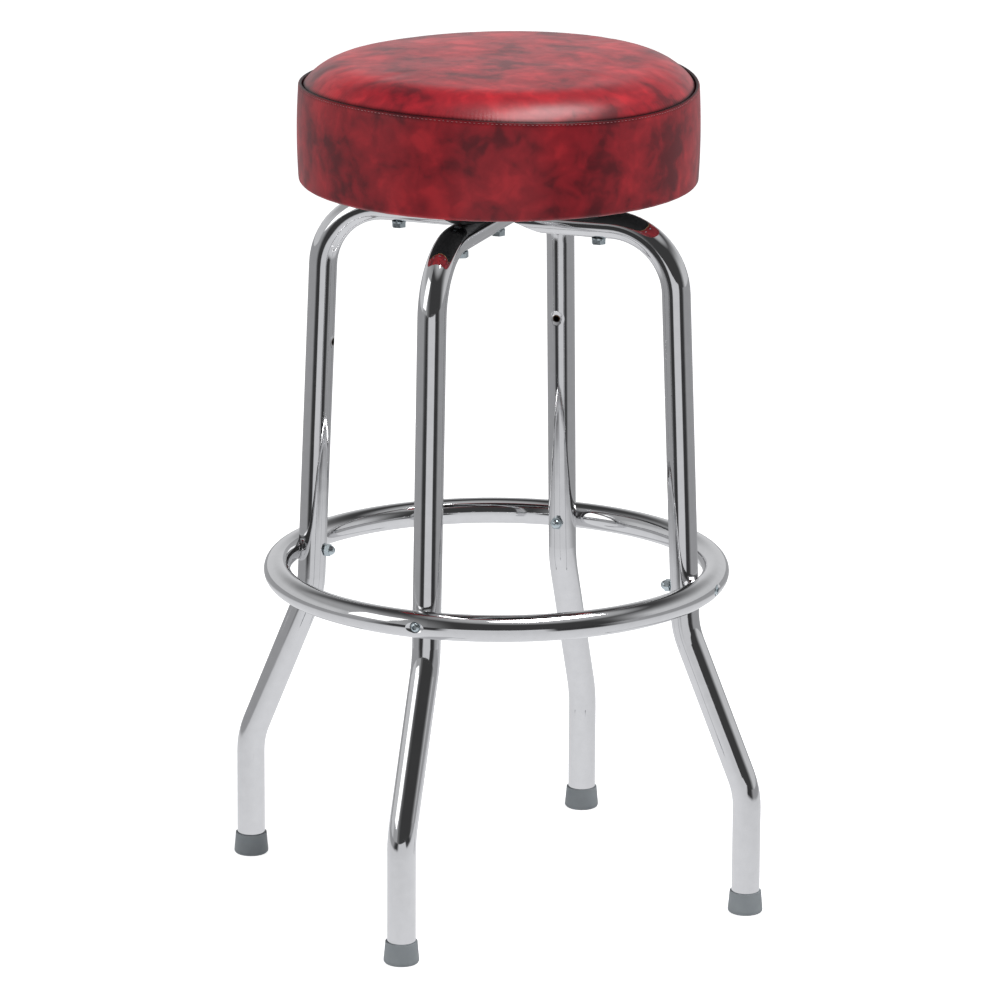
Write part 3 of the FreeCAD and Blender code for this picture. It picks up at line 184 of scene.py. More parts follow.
enamel, tree, shader, place = new_finish("black_dipped_enamel")
peel = add(tree, "ShaderNodeTexNoise", {"Vector": place, "Scale": 1 / 0.0028, "Detail": 2.0})
scuff = add(tree, "ShaderNodeTexNoise", {"Vector": place, "Scale": 1 / 0.02, "Detail": 8.0,
                                         "Roughness": 0.7})
scuffed = add(tree, "ShaderNodeMapRange", {"Value": scuff.outputs["Fac"], "From Min": 0.6,
                                           "From Max": 0.8})
black = add(tree, "ShaderNodeMix", {0: scuffed.outputs["Result"], 6: linear("#0e0e10"),
                                    7: linear("#2c2c2e")}, data_type="RGBA")
tree.links.new(black.outputs[2], shader.inputs["Base Color"])
gloss = add(tree, "ShaderNodeMapRange", {"Value": scuff.outputs["Fac"], "To Min": 0.28, "To Max": 0.5})
tree.links.new(gloss.outputs["Result"], shader.inputs["Roughness"])
skin = add(tree, "ShaderNodeBump", {"Height": peel.outputs["Fac"], "Strength": 0.15,
                                    "Distance": 0.0001})
tree.links.new(skin.outputs["Normal"], shader.inputs["Normal"])
give(enamel, "swivel_lower_plate", "swivel_upper_plate", "swivel_keeper_ring")


# Ball bearing
# Hardened and ground steel balls, held apart by a flat ring of natural nylon. The balls carry a
# film of grease, and the nylon is milky and slightly waxy.

steel, tree, shader, place = new_finish("ground_bearing_steel")
shader.inputs["Metallic"].default_value = 1.0
grease = add(tree, "ShaderNodeTexNoise", {"Vector": place, "Scale": 1 / 0.003, "Detail": 4.0})
ball = add(tree, "ShaderNodeMix", {0: grease.outputs["Fac"], 6: linear("#a8a49a"), 7: linear("#c9c9cb")},
           data_type="RGBA")
tree.links.new(ball.outputs[2], shader.inputs["Base Color"])
film = add(tree, "ShaderNodeMapRange", {"Value": grease.outputs["Fac"], "To Min": 0.08, "To Max": 0.3})
tree.links.new(film.outputs["Result"], shader.inputs["Roughness"])
give(steel, "swivel_balls")

nylon, tree, shader, place = new_finish("natural_nylon")
milky = add(tree, "ShaderNodeTexNoise", {"Vector": place, "Scale": 1 / 0.006, "Detail": 3.0})
wax = add(tree, "ShaderNodeMix", {0: milky.outputs["Fac"], 6: linear("#c9c4ae"), 7: linear("#dcd8c6")},
          data_type="RGBA")
tree.links.new(wax.outputs[2], shader.inputs["Base Color"])
shader.inputs["Roughness"].default_value = 0.42
shader.inputs["Subsurface Weight"].default_value = 0.15
shader.inputs["Subsurface Scale"].default_value = 0.001
give(nylon, "ball_cage")


# Seat board
# Round plywood, cut on a router: pale birch faces with long grain, and an edge of stacked plies
# about 1.5 mm thick that alternate light and dark.

plywood, tree, shader, place = new_finish("birch_plywood")
along = add(tree, "ShaderNodeMapping", {"Vector": place, "Scale": (1 / 0.18, 1 / 0.006, 1 / 0.006)})
figure = add(tree, "ShaderNodeTexNoise", {"Vector": along.outputs["Vector"], "Scale": 1.0,
                                          "Detail": 6.0, "Distortion": 0.6})
plies = add(tree, "ShaderNodeTexWave", {"Vector": place, "Scale": 2 * math.pi / (20 * 0.003),
                                        "Distortion": 0.4}, bands_direction="Z")
light_ply = add(tree, "ShaderNodeMix", {0: figure.outputs["Fac"], 6: linear("#b88f5c"),
                                        7: linear("#e0c496")}, data_type="RGBA")
board = add(tree, "ShaderNodeMix", {0: plies.outputs["Fac"], 6: light_ply.outputs[2],
                                    7: linear("#9a7040")}, data_type="RGBA")
tree.links.new(board.outputs[2], shader.inputs["Base Color"])
shader.inputs["Roughness"].default_value = 0.7
fibre = add(tree, "ShaderNodeBump", {"Height": figure.outputs["Fac"], "Strength": 0.3,
                                     "Distance": 0.0002})
tree.links.new(fibre.outputs["Normal"], shader.inputs["Normal"])
give(plywood, "seat_board")


# Dust cloth
# A disc of black spun-bonded cloth under the board, held up by the swivel plate. It reaches out to
# the turned-in edge of the cover, is thin and limp, and hangs a hair below the wood.

def smooth(low, high, values):
    """Rises from 0 at low to 1 at high: three times the square less twice the cube."""
    share = np.clip((values - low) / (high - low), 0, 1)
    return share * share * (3 - 2 * share)


def turned(name, radii, heights, turns, closes):
    """Mesh turned round the upright axis, with rows of radius and height and a column per angle.

    radii and heights are rows by columns. Rows on the axis shrink to one point. Where closes is
    true the last row joins the first, so the section is a loop.
    """
    points = np.stack([radii * np.cos(turns), radii * np.sin(turns), heights], axis=-1)
    number = np.arange(heights.size).reshape(heights.shape)
    below = np.roll(number, -1, axis=0) if closes else number[1:]
    above = number if closes else number[:-1]
    quads = np.stack([above, below, np.roll(below, -1, axis=1), np.roll(above, -1, axis=1)], axis=-1)
    return put(name, points.reshape(-1, 3), quads.reshape(-1, 4))


def put(name, points, faces):
    """Object of a mesh at the origin, its doubled points merged and its faces turned outwards."""
    mesh = bpy.data.meshes.new(name)
    mesh.from_pydata(points.tolist(), [], faces.tolist())
    shell = bmesh.new()
    shell.from_mesh(mesh)
    bmesh.ops.remove_doubles(shell, verts=shell.verts, dist=2e-7)
    bmesh.ops.recalc_face_normals(shell, faces=shell.faces)
    shell.to_mesh(mesh)
    shell.free()
    mesh.shade_smooth()
    piece = bpy.data.objects.new(name, mesh)
    bpy.context.scene.collection.objects.link(piece)
    return piece


spunbond, tree, shader, place = new_finish("black_spunbonded_cloth")
strands = add(tree, "ShaderNodeTexNoise", {"Vector": place, "Scale": 1 / 0.0009, "Detail": 2.0,
                                           "Distortion": 1.5})
points = add(tree, "ShaderNodeTexVoronoi", {"Vector": place, "Scale": 1 / 0.0016})
felt = add(tree, "ShaderNodeMix", {0: strands.outputs["Fac"], 6: linear("#0a0a0b"),
                                   7: linear("#1f1f21")}, data_type="RGBA")
tree.links.new(felt.outputs[2], shader.inputs["Base Color"])
shader.inputs["Roughness"].default_value = 0.92
bond = add(tree, "ShaderNodeBump", {"Height": points.outputs["Distance"], "Strength": 0.5,
                                    "Distance": 0.0002})
tree.links.new(bond.outputs["Normal"], shader.inputs["Normal"])

CLOTH_RADIUS = 0.1522
CLOTH_HEIGHT = 0.65325
turns = np.linspace(0, 2 * math.pi, 168, endpoint=False)
reach = np.linspace(0, 1, 40)[:, None] * CLOTH_RADIUS + 0 * turns
hang = smooth(0.100, 0.125, reach) * smooth(CLOTH_RADIUS, 0.135, reach)
drape = CLOTH_HEIGHT - hang * (0.0007 + 0.0002 * np.sin(9 * turns) + 0.00015 * np.sin(23 * turns + 1.3))
dust_cloth = turned("dust_cloth", reach, drape, turns, False)
thickness = dust_cloth.modifiers.new("cloth_thickness", "SOLIDIFY")
thickness.thickness = 0.0003
thickness.offset = 0
dust_cloth.data.materials.append(spunbond)
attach(dust_cloth, "seat")
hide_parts("dust_cover")


# Foam
# A disc of cut upholstery foam on the board, with a strip of the same foam round the board's
# edge. It fills the cover, which hides it, and gives the cushion its crown.

foam, tree, shader, place = new_finish("cut_upholstery_foam")
cells = add(tree, "ShaderNodeTexVoronoi", {"Vector": place, "Scale": 1 / 0.0012})
cream = add(tree, "ShaderNodeMix", {0: cells.outputs["Distance"], 6: linear("#c9bb8c"),
                                    7: linear("#e6dcb8")}, data_type="RGBA")
tree.links.new(cream.outputs[2], shader.inputs["Base Color"])
shader.inputs["Roughness"].default_value = 0.95
pores = add(tree, "ShaderNodeBump", {"Height": cells.outputs["Distance"], "Strength": 0.8,
                                     "Distance": 0.0004})
tree.links.new(pores.outputs["Normal"], shader.inputs["Normal"])


# The crown: the seat's top, where the flat dome ends and by how much it has fallen there, and the
# seam, to which an arc that starts at the dome's slope comes down.
SEAT_TOP = 0.7624
DOME_RADIUS = 0.132
DOME_FALL = 0.002
SEAM_RADIUS = 0.173
SHOULDER_FALL = 0.0212
dome_end = 2 * math.atan(DOME_FALL / DOME_RADIUS)
chord = math.hypot(SEAM_RADIUS - DOME_RADIUS, SHOULDER_FALL)
chord_slope = math.atan2(SHOULDER_FALL, SEAM_RADIUS - DOME_RADIUS)
SHOULDER_RADIUS = chord / (2 * math.sin(chord_slope - dome_end))
SHOULDER_MIDDLE = DOME_RADIUS - SHOULDER_RADIUS * math.sin(dome_end)


def crown(radius, inset=0.0):
    """Height of the cushion's top at a radius: a very flat dome, then a round shoulder.

    The dome falls 2 mm over its first 132 mm. From there an arc of 53.4 mm radius, tangent to
    the dome, comes down to the seam at 173 mm. The foam blends the two, so the height is their
    mean over 12 mm to each side, weighted by the squared cosine and narrowing to the seam.
    """
    share = np.linspace(-1, 1, 13)
    weight = np.cos(share * math.pi / 2) ** 2
    nearby = np.abs(radius[..., None] + 0.012 * share * smooth(0.170, 0.148, radius)[..., None])
    dome = SEAT_TOP - DOME_FALL * (nearby / DOME_RADIUS) ** 2
    arc_height = np.sqrt(np.maximum(SHOULDER_RADIUS ** 2 - (nearby - SHOULDER_MIDDLE) ** 2, 0))
    first_height = math.sqrt(SHOULDER_RADIUS ** 2 - (DOME_RADIUS - SHOULDER_MIDDLE) ** 2)
    rounded = SEAT_TOP - DOME_FALL + arc_height - first_height
    return np.where(nearby < DOME_RADIUS, dome, rounded) @ weight / weight.sum() - inset


# The real seam isn't level. Seen from the camera it runs low at the front right and high at the
# front left, and the other way round behind.
VIEW_TURN = math.radians(-70.08)
LIP_TOP = 0.7416


def set_of_edge(angle):
    """How far the sewn edge stands above its level, by angle: twice round, stronger on one side."""
    side = angle - VIEW_TURN
    return -0.0021 - 0.0033 * np.sin(2 * side) * (1 + 0.3 * np.sin(side))


def share_of_set(heights):
    """How much of the edge's set the side takes at a height: none at its foot, all at the lip."""
    return smooth(0.660, LIP_TOP, heights)


core_turns = np.linspace(0, 2 * math.pi, 144, endpoint=False)
top = np.linspace(0, 0.1702, 26)
side_radii = [0.1705, 0.1750, 0.1750, 0.1728, 0.1716, 0.1716, 0.0]
side_heights = [0.7318, 0.7285, 0.6562, 0.6537, 0.6537, 0.6686, 0.6686]
core_radii = np.concatenate([top, side_radii])[:, None] + 0 * core_turns
core_heights = np.concatenate([crown(top, 0.0022), side_heights])[:, None] + 0 * core_turns
core_heights = core_heights + (set_of_edge(core_turns) * share_of_set(core_heights)
                               * (np.minimum(core_radii, SEAM_RADIUS) / SEAM_RADIUS) ** 4)
foam_core = turned("foam_core", core_radii, core_heights, core_turns, False)
foam_core.data.materials.append(foam)
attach(foam_core, "seat")
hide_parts("foam_pad")


# Cushion cover
# Crimson vinyl on a knit backing, printed with a cloudy marble, with painted shade in the groove of
# its seam: a near-black red and a weaker gloss there. The top panel is sewn to a side band, and the
# cap is pulled over the foam and stapled.

vinyl, tree, shader, place = new_finish("marbled_crimson_vinyl")
drift = add(tree, "ShaderNodeTexNoise", {"Vector": place, "Scale": 1 / 0.034, "Detail": 2.0})
cut_from = add(tree, "ShaderNodeVectorMath", {0: place, 1: (0.24, 1.91, 0.77)}, operation="ADD")
swirl = add(tree, "ShaderNodeVectorMath", {0: drift.outputs["Color"], 1: (0.5, 0.5, 0.5)},
            operation="SUBTRACT")
pushed = add(tree, "ShaderNodeVectorMath", {0: swirl.outputs["Vector"], 1: (0.026, 0.026, 0.026),
                                            2: cut_from.outputs["Vector"]}, operation="MULTIPLY_ADD")
clouds = add(tree, "ShaderNodeTexNoise", {"Vector": pushed.outputs["Vector"], "Scale": 1 / 0.044,
                                          "Detail": 3.0, "Roughness": 0.55})
wisps = add(tree, "ShaderNodeTexNoise", {"Vector": pushed.outputs["Vector"], "Scale": 1 / 0.015,
                                         "Detail": 4.0, "Roughness": 0.5})
both = add(tree, "ShaderNodeMath", {0: wisps.outputs["Fac"], 1: 0.35}, operation="MULTIPLY")
mottle = add(tree, "ShaderNodeMath", {0: clouds.outputs["Fac"], 1: 0.65, 2: both.outputs[0]},
             operation="MULTIPLY_ADD")
ink = add(tree, "ShaderNodeMapRange", {"Value": mottle.outputs[0], "From Min": 0.47, "From Max": 0.64,
                                       "To Min": 0.0, "To Max": 0.78}, interpolation_type="SMOOTHSTEP")
glow = add(tree, "ShaderNodeMapRange", {"Value": mottle.outputs[0], "From Min": 0.50, "From Max": 0.34,
                                        "To Min": 0.0, "To Max": 1.0}, interpolation_type="SMOOTHSTEP")
red = add(tree, "ShaderNodeMix", {0: glow.outputs["Result"], 6: linear("#8f1d27"), 7: linear("#b0262f")},
          data_type="RGBA")
printed = add(tree, "ShaderNodeMix", {0: ink.outputs["Result"], 6: red.outputs[2],
                                      7: linear("#47121a")}, data_type="RGBA")
# Painted shade: deep in the seam's groove the vinyl is painted a near-black red and made less glossy,
# standing in for the shade that falls there.
groove = add(tree, "ShaderNodeAttribute", {}, attribute_name="groove")
painted_seam_shade = add(tree, "ShaderNodeMix", {0: groove.outputs["Fac"], 6: printed.outputs[2],
                                     7: linear("#1e0509")}, data_type="RGBA")
tree.links.new(painted_seam_shade.outputs[2], shader.inputs["Base Color"])
sheen = add(tree, "ShaderNodeMapRange", {"Value": groove.outputs["Fac"], "To Min": 0.33,
                                         "To Max": 0.08})
tree.links.new(sheen.outputs["Result"], shader.inputs["Specular IOR Level"])
grain = add(tree, "ShaderNodeTexVoronoi", {"Vector": place, "Scale": 1 / 0.0011}, feature="SMOOTH_F1")
gloss = add(tree, "ShaderNodeMapRange", {"Value": wisps.outputs["Fac"], "To Min": 0.30, "To Max": 0.38})
tree.links.new(gloss.outputs["Result"], shader.inputs["Roughness"])
pebble = add(tree, "ShaderNodeBump", {"Height": grain.outputs["Distance"], "Strength": 0.12,
                                      "Distance": 0.0002})
tree.links.new(pebble.outputs["Normal"], shader.inputs["Normal"])

STITCHES = 288
turns = np.linspace(0, 2 * math.pi, 4 * STITCHES, endpoint=False)
SEAM_LINE = (0.1731, 0.7404)


def ripple(angle, cycles, seed):
    """Sum of cosines of whole cycles round the seat, with seeded phases, between -1 and 1."""
    phases = np.random.default_rng(seed).uniform(0, 2 * math.pi, len(cycles))
    return sum(np.cos(number * angle + phase) for number, phase in zip(cycles, phases)) / len(cycles)


def mark_groove(piece):
    """Stores how deep in the seam's groove a point lies: 1 within 2.2 mm of it, 0 from 4.2 mm. The vinyl
    paints shade by it.
    """
    points = np.empty(3 * len(piece.data.vertices))
    piece.data.vertices.foreach_get("co", points)
    points = points.reshape(-1, 3)
    level_there = points[:, 2] - set_of_edge(np.arctan2(points[:, 1], points[:, 0]))
    away = np.hypot(np.hypot(points[:, 0], points[:, 1]) - SEAM_LINE[0], level_there - SEAM_LINE[1])
    depth = piece.data.attributes.new("groove", "FLOAT", "POINT")
    depth.data.foreach_set("value", 1 - smooth(0.0022, 0.0042, away))


# The top panel is first settled as cloth: a coarser sheet that starts up to 3.1 mm low in the middle
# and is sewn down at its edge, under the pressure of the foam. How far it then stands from the
# crown, outwards and up, is held between 0.6 mm less and 3 mm more, and the panel takes it over.
MOST_SUNK = 0.0006
MOST_SWOLLEN = 0.003
SETTLING_FRAMES = 20
sheet_turns = np.linspace(0, 2 * math.pi, 144, endpoint=False)
inner_rows = np.linspace(0.004, 0.120, 16)[:-1]
outer_rows = np.linspace(0.120, SEAM_RADIUS, 15)
sheet_rows = np.concatenate([inner_rows, outer_rows])[:, None]
full = crown(sheet_rows[:, 0])[:, None] + set_of_edge(sheet_turns) * (sheet_rows / SEAM_RADIUS) ** 4
slack = full - 0.0031 * np.maximum(1 - (sheet_rows / 0.135) ** 2, 0)
moved = np.zeros((*full.shape, 2))
sheet = turned("sheet", sheet_rows + 0 * full, slack, sheet_turns, False)
if sheet.data.polygons[0].normal.z < 0:
    sheet.data.flip_normals()
sewn = sheet.vertex_groups.new(name="sewn")
sewn.add(list(range(full.size - 2 * sheet_turns.size, full.size)), 1.0, "REPLACE")
cloth = sheet.modifiers.new("settling", "CLOTH").settings
cloth.vertex_group_mass = "sewn"
cloth.quality = 8
cloth.tension_stiffness = cloth.compression_stiffness = 40
cloth.shear_stiffness = 20
cloth.bending_stiffness = 4
cloth.tension_damping = cloth.compression_damping = 15
cloth.shear_damping = 10
cloth.air_damping = 5
cloth.use_pressure = True
cloth.uniform_pressure_force = 1.0
cloth.effector_weights.gravity = 0
sheet.modifiers["settling"].point_cache.frame_end = SETTLING_FRAMES
for moment in range(1, SETTLING_FRAMES + 1):
    bpy.context.scene.frame_set(moment)
shape = sheet.evaluated_get(bpy.context.evaluated_depsgraph_get()).to_mesh()
points = np.empty(3 * full.size)
shape.vertices.foreach_get("co", points)
points = points.reshape(*full.shape, 3)
reached = points[..., 0] * np.cos(sheet_turns) + points[..., 1] * np.sin(sheet_turns)
moved = np.stack([reached - sheet_rows, points[..., 2] - full], axis=-1)
moved = np.clip(moved, -MOST_SUNK, MOST_SWOLLEN)
bpy.context.scene.frame_set(1)
bpy.data.objects.remove(sheet)


def settled(radii):
    """Settling at given radii and all turns: a polynomial along the radius, waves round the seat.

    It fades out to the seam, which is sewn, and is the same all round at the middle.
    """
    terms = 9
    along_rows = np.linalg.lstsq(np.vander(sheet_rows[:, 0] / SEAM_RADIUS, terms),
                                 moved.reshape(sheet_rows.size, -1), rcond=None)[0]
    waves = np.fft.rfft(along_rows.reshape(terms, *moved.shape[1:]), axis=1)
    finer = np.fft.irfft(waves, n=turns.size, axis=1) * turns.size / sheet_turns.size
    shift = np.einsum("rk,kac->rac", np.vander(radii / SEAM_RADIUS, terms), finer)
    even = shift.mean(axis=1, keepdims=True)
    shift = even + (shift - even) * smooth(0.0, 0.03, radii)[:, None, None]
    return shift * smooth(SEAM_RADIUS, 0.166, radii)[:, None, None]


# Top panel: domed, drawn down at its edge into the seam and puckered by each stitch.
outer = np.concatenate([np.linspace(0, 0.128, 14), 0.128 + 0.045 * np.linspace(0, 1, 30)[1:] ** 0.85])
tail_radii = np.array([0.17305, 0.1726, 0.1710, 0.1700, 0.1704])
tail_heights = np.array([0.7378, 0.7364, 0.7358, 0.7364, 0.7378])
inner = np.array([0.1695, 0.166, 0.160, 0.150, 0.132, 0.09, 0.045, 0.0])
panel_radii = np.concatenate([outer, tail_radii, inner])[:, None] + 0 * turns
level = np.concatenate([crown(outer), tail_heights, crown(inner, 0.0012)])[:, None]
near_seam = np.exp(-(SEAM_RADIUS - np.minimum(panel_radii, SEAM_RADIUS)) / 0.004)
shoulder_share = smooth(0.120, 0.165, panel_radii)
pucker = -0.00022 * near_seam * (0.5 + 0.5 * np.cos(STITCHES * turns))
drag = 0.0001 * shoulder_share * smooth(SEAM_RADIUS, 0.158, panel_radii) * ripple(
    turns, (19, 31, 47, 58), 3)
swell = 0.0005 * (1 - shoulder_share) * ripple(turns, (2, 3, 5), 5) * smooth(0.01, 0.08, panel_radii)
panel_heights = level + set_of_edge(turns) * (panel_radii / SEAM_RADIUS) ** 4 + pucker + drag + swell
shift = settled(panel_radii[:, 0])
panel_heights = panel_heights + shift[..., 1]
panel_radii = panel_radii + shift[..., 0] * smooth(0.0, 0.02, panel_radii)
cushion_top = turned("cushion_top", panel_radii, panel_heights, turns, False)
cushion_top.data.materials.append(vinyl)
mark_groove(cushion_top)
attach(cushion_top, "seat")
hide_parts("seat_cover_top")

# Side band: a strip sewn into a ring, full in the middle, with a rounded lip outside the seam, a
# sewn join at the back and its lower edge pulled under the board in small pleats.
BAND_RADIUS = 0.1766
BAND_FOOT = 0.6558
LIP_HEIGHT = 0.7398
LIP_MIDDLE = 0.17486
LIP_ROUND = 0.00174
LIP_RISE = 0.00178
FOOT_MIDDLE = 0.1730
FOOT_ROUND = 0.0036
climb = np.linspace(0, 1, 34)
wall_heights = BAND_FOOT + (LIP_HEIGHT - BAND_FOOT) * climb
wall_radii = BAND_RADIUS + 0.0012 * (1 - (2 * climb - 1) ** 2)
lip = np.linspace(0, 1, 12)[1:] * math.pi
lip_radii = LIP_MIDDLE + LIP_ROUND * np.cos(lip)
lip_heights = LIP_HEIGHT + LIP_RISE * np.sin(lip)
foot = np.linspace(0.5, 0, 8)[:-1] * math.pi
foot_radii = FOOT_MIDDLE + FOOT_ROUND * np.cos(foot)
foot_heights = BAND_FOOT - FOOT_ROUND * np.sin(foot)
tuck_radii = [0.1530, 0.1535, 0.162, 0.170]
tuck_heights = [0.6529, 0.65225, 0.65215, 0.65215]
back_radii = [0.1731, 0.1737, 0.1751, 0.1754, 0.1753, 0.1720, 0.1665]
back_heights = [0.7372, 0.7360, 0.7352, 0.7200, 0.6580, 0.65335, 0.65335]
section_radii = np.concatenate([tuck_radii, foot_radii, wall_radii, lip_radii, back_radii])
section_heights = np.concatenate([tuck_heights, foot_heights, wall_heights, lip_heights, back_heights])
band_radii = section_radii[:, None] + 0 * turns
band_heights = section_heights[:, None] + 0 * turns
share_up = share_of_set(band_heights)
outside = smooth(0.1752, 0.1764, band_radii)
stitch_line = np.exp(-((band_heights - LIP_HEIGHT) / 0.0011) ** 2) * outside
join = np.abs((turns - (VIEW_TURN + math.pi) + math.pi) % (2 * math.pi) - math.pi) * 0.177
creases = 0.00022 * ripple(turns, (13, 22, 35, 41), 7) * smooth(0.690, 0.6535, band_heights)
between = np.clip((band_heights - BAND_FOOT) / (LIP_HEIGHT - BAND_FOOT), 0, 1)
waver = 0.00025 * ripple(turns, (5, 8, 11), 11) * np.sin(math.pi * between)
band_radii = (band_radii + outside * (creases + waver - 0.0006 * np.exp(-(join / 0.0011) ** 2))
              - 0.00025 * stitch_line * (0.5 - 0.5 * np.cos(STITCHES * turns)))
underside = smooth(0.1764, 0.172, band_radii) * smooth(0.6545, 0.6525, band_heights)
pleats = 0.0002 * np.cos(56 * turns) * underside
band_heights = band_heights + set_of_edge(turns) * share_up - np.maximum(pleats, 0) * smooth(
    0.1535, 0.160, band_radii)
cushion_band = turned("cushion_band", band_radii, band_heights, turns, True)
cushion_band.data.materials.append(vinyl)
mark_groove(cushion_band)
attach(cushion_band, "seat")
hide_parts("seat_cover_band")


# Seam stitches
# Bonded polyester thread, a shade lighter than the vinyl. Its lock stitches follow each other
# every 3.9 mm and sit half sunk in the outer side of the lip, just below the seam.

thread, tree, shader, place = new_finish("bonded_polyester_thread")
twist = add(tree, "ShaderNodeTexNoise", {"Vector": place, "Scale": 1 / 0.0004, "Detail": 2.0})
dyed = add(tree, "ShaderNodeMix", {0: twist.outputs["Fac"], 6: linear("#8a454b"), 7: linear("#b57c7e")},
           data_type="RGBA")
tree.links.new(dyed.outputs[2], shader.inputs["Base Color"])
shader.inputs["Roughness"].default_value = 0.45

THREAD_RADIUS = 0.00021
SUNK_BY = 0.00008
HALF_STITCH = 0.00118
PATH_RADIUS = 0.1764
middles = (np.arange(STITCHES) + 0.5) * 2 * math.pi / STITCHES
along = np.linspace(-1, 1, 7)
around = np.linspace(0, 2 * math.pi, 6, endpoint=False)
fullness = np.sqrt(1 - along ** 4)[:, None]
out_by = THREAD_RADIUS * fullness * np.cos(around) - SUNK_BY
up_by = THREAD_RADIUS * fullness * np.sin(around)
angles = middles[:, None, None] + (along * HALF_STITCH / PATH_RADIUS)[None, :, None] + 0 * out_by
rows_out = BAND_RADIUS + out_by
stitch_points = np.stack([rows_out * np.cos(angles), rows_out * np.sin(angles),
                          LIP_HEIGHT + up_by + set_of_edge(angles)], axis=-1)
number = np.arange(angles.size).reshape(angles.shape)
onward = np.roll(number, -1, axis=2)
patches = np.stack([number[:, :-1], number[:, 1:], onward[:, 1:], onward[:, :-1]], axis=-1)
seam_stitches = put("seam_stitches", stitch_points.reshape(-1, 3), patches.reshape(-1, 4))
seam_stitches.data.materials.append(thread)
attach(seam_stitches, "seat")


# Studio
# A white paper floor under a wide soft box, with pale walls behind and to the left and a dim room
# beyond. The polished tube mirrors them all, so reflections find the paper's real edge, the room's
# gloom and the glow of the cloth round the box.

TO_CAMERA = (math.cos(VIEW_TURN), math.sin(VIEW_TURN))


def beside(toward, right, height):
    """Point given by its reach toward the camera, its reach to the picture's right and its height."""
    across = (-TO_CAMERA[1], TO_CAMERA[0])
    return (toward * TO_CAMERA[0] + right * across[0], toward * TO_CAMERA[1] + right * across[1], height)


floor_mesh = bpy.data.meshes.new("paper_floor")
floor_mesh.from_pydata([(-30, -30, 0), (30, -30, 0), (30, 30, 0), (-30, 30, 0)], [], [(0, 1, 2, 3)])
paper_floor = bpy.data.objects.new("paper_floor", floor_mesh)
bpy.context.scene.collection.objects.link(paper_floor)

paper, tree, shader, place = new_finish("white_background_paper")
shader.inputs["Base Color"].default_value = linear("#f4f4f4")
shader.inputs["Roughness"].default_value = 0.9
shader.inputs["Emission Color"].default_value = linear("#ffffff")
ray = add(tree, "ShaderNodeLightPath", {})
upward = add(tree, "ShaderNodeMapRange", {"Value": ray.outputs["Is Diffuse Ray"], "To Min": 0.86,
                                          "To Max": 0.18})
tree.links.new(upward.outputs["Result"], shader.inputs["Emission Strength"])
flat_place = add(tree, "ShaderNodeVectorMath", {0: place, 1: (1.0, 1.0, 0.0)}, operation="MULTIPLY")
distance = add(tree, "ShaderNodeVectorMath", {0: flat_place.outputs["Vector"]}, operation="LENGTH")
bearing = add(tree, "ShaderNodeVectorMath", {0: flat_place.outputs["Vector"]}, operation="NORMALIZE")
facing = add(tree, "ShaderNodeVectorMath", {0: bearing.outputs["Vector"], 1: (*TO_CAMERA, 0.0)},
             operation="DOT_PRODUCT")
aisle = add(tree, "ShaderNodeMapRange", {"Value": facing.outputs["Value"], "From Min": 0.885,
                                         "From Max": 0.93, "To Min": 0.05, "To Max": 0.8})
gloom = add(tree, "ShaderNodeMapRange", {"Value": facing.outputs["Value"], "From Min": 0.66,
                                         "From Max": 0.45})
room = add(tree, "ShaderNodeMix", {0: gloom.outputs["Result"], 2: aisle.outputs["Result"], 3: 0.42})
edge = add(tree, "ShaderNodeMapRange", {"Value": distance.outputs["Value"], "From Min": 0.75,
                                        "From Max": 1.15}, interpolation_type="SMOOTHSTEP")
near = add(tree, "ShaderNodeMapRange", {"Value": distance.outputs["Value"], "From Min": 0.15,
                                        "From Max": 0.70, "To Min": 0.95, "To Max": 0.82})
seen = add(tree, "ShaderNodeMix", {0: edge.outputs["Result"], 2: near.outputs["Result"],
                                   3: room.outputs[0]})
mirrored = add(tree, "ShaderNodeEmission", {"Color": linear("#fbfcff"), "Strength": seen.outputs[0]})
either = add(tree, "ShaderNodeMixShader", {0: ray.outputs["Is Glossy Ray"], 1: shader.outputs[0],
                                           2: mirrored.outputs[0]})
tree.links.new(either.outputs[0], tree.nodes["Material Output"].inputs["Surface"])
floor_mesh.materials.append(paper)

world = bpy.data.worlds.new("studio_room")
bpy.context.scene.world = world
world.use_nodes = True
tree = world.node_tree
direction = tree.nodes.new("ShaderNodeTexCoord").outputs["Generated"]
parts = add(tree, "ShaderNodeSeparateXYZ", {"Vector": direction})
facing = add(tree, "ShaderNodeVectorMath", {0: direction, 1: (*TO_CAMERA, 0.0)},
             operation="DOT_PRODUCT")
behind = add(tree, "ShaderNodeMapRange", {"Value": facing.outputs["Value"], "From Min": 0.60,
                                          "From Max": 0.05}, interpolation_type="SMOOTHSTEP")
low = add(tree, "ShaderNodeMapRange", {"Value": parts.outputs["Z"], "From Min": 0.78,
                                       "From Max": 0.22}, interpolation_type="SMOOTHSTEP")
wall = add(tree, "ShaderNodeMath", {0: behind.outputs["Result"], 1: low.outputs["Result"]},
           operation="MULTIPLY")
leftward = add(tree, "ShaderNodeVectorMath", {0: direction, 1: (TO_CAMERA[1], -TO_CAMERA[0], 0.0)},
               operation="DOT_PRODUCT")
left_wall = add(tree, "ShaderNodeMapRange", {"Value": leftward.outputs["Value"], "From Min": 0.30,
                                             "From Max": 0.75, "To Max": 0.6},
                interpolation_type="SMOOTHSTEP")
walls = add(tree, "ShaderNodeMath", {0: wall.outputs[0], 1: left_wall.outputs["Result"]},
            operation="MAXIMUM")
BOX_PLACE = beside(0.35, 0.55, 2.5)
toward_box = add(tree, "ShaderNodeVectorMath", {0: direction, 1: Vector(BOX_PLACE).normalized()},
                 operation="DOT_PRODUCT")
around_box = add(tree, "ShaderNodeMapRange", {"Value": toward_box.outputs["Value"], "From Min": 0.78,
                                              "From Max": 0.95, "To Max": 0.75},
                 interpolation_type="SMOOTHSTEP")
ray = add(tree, "ShaderNodeLightPath", {})
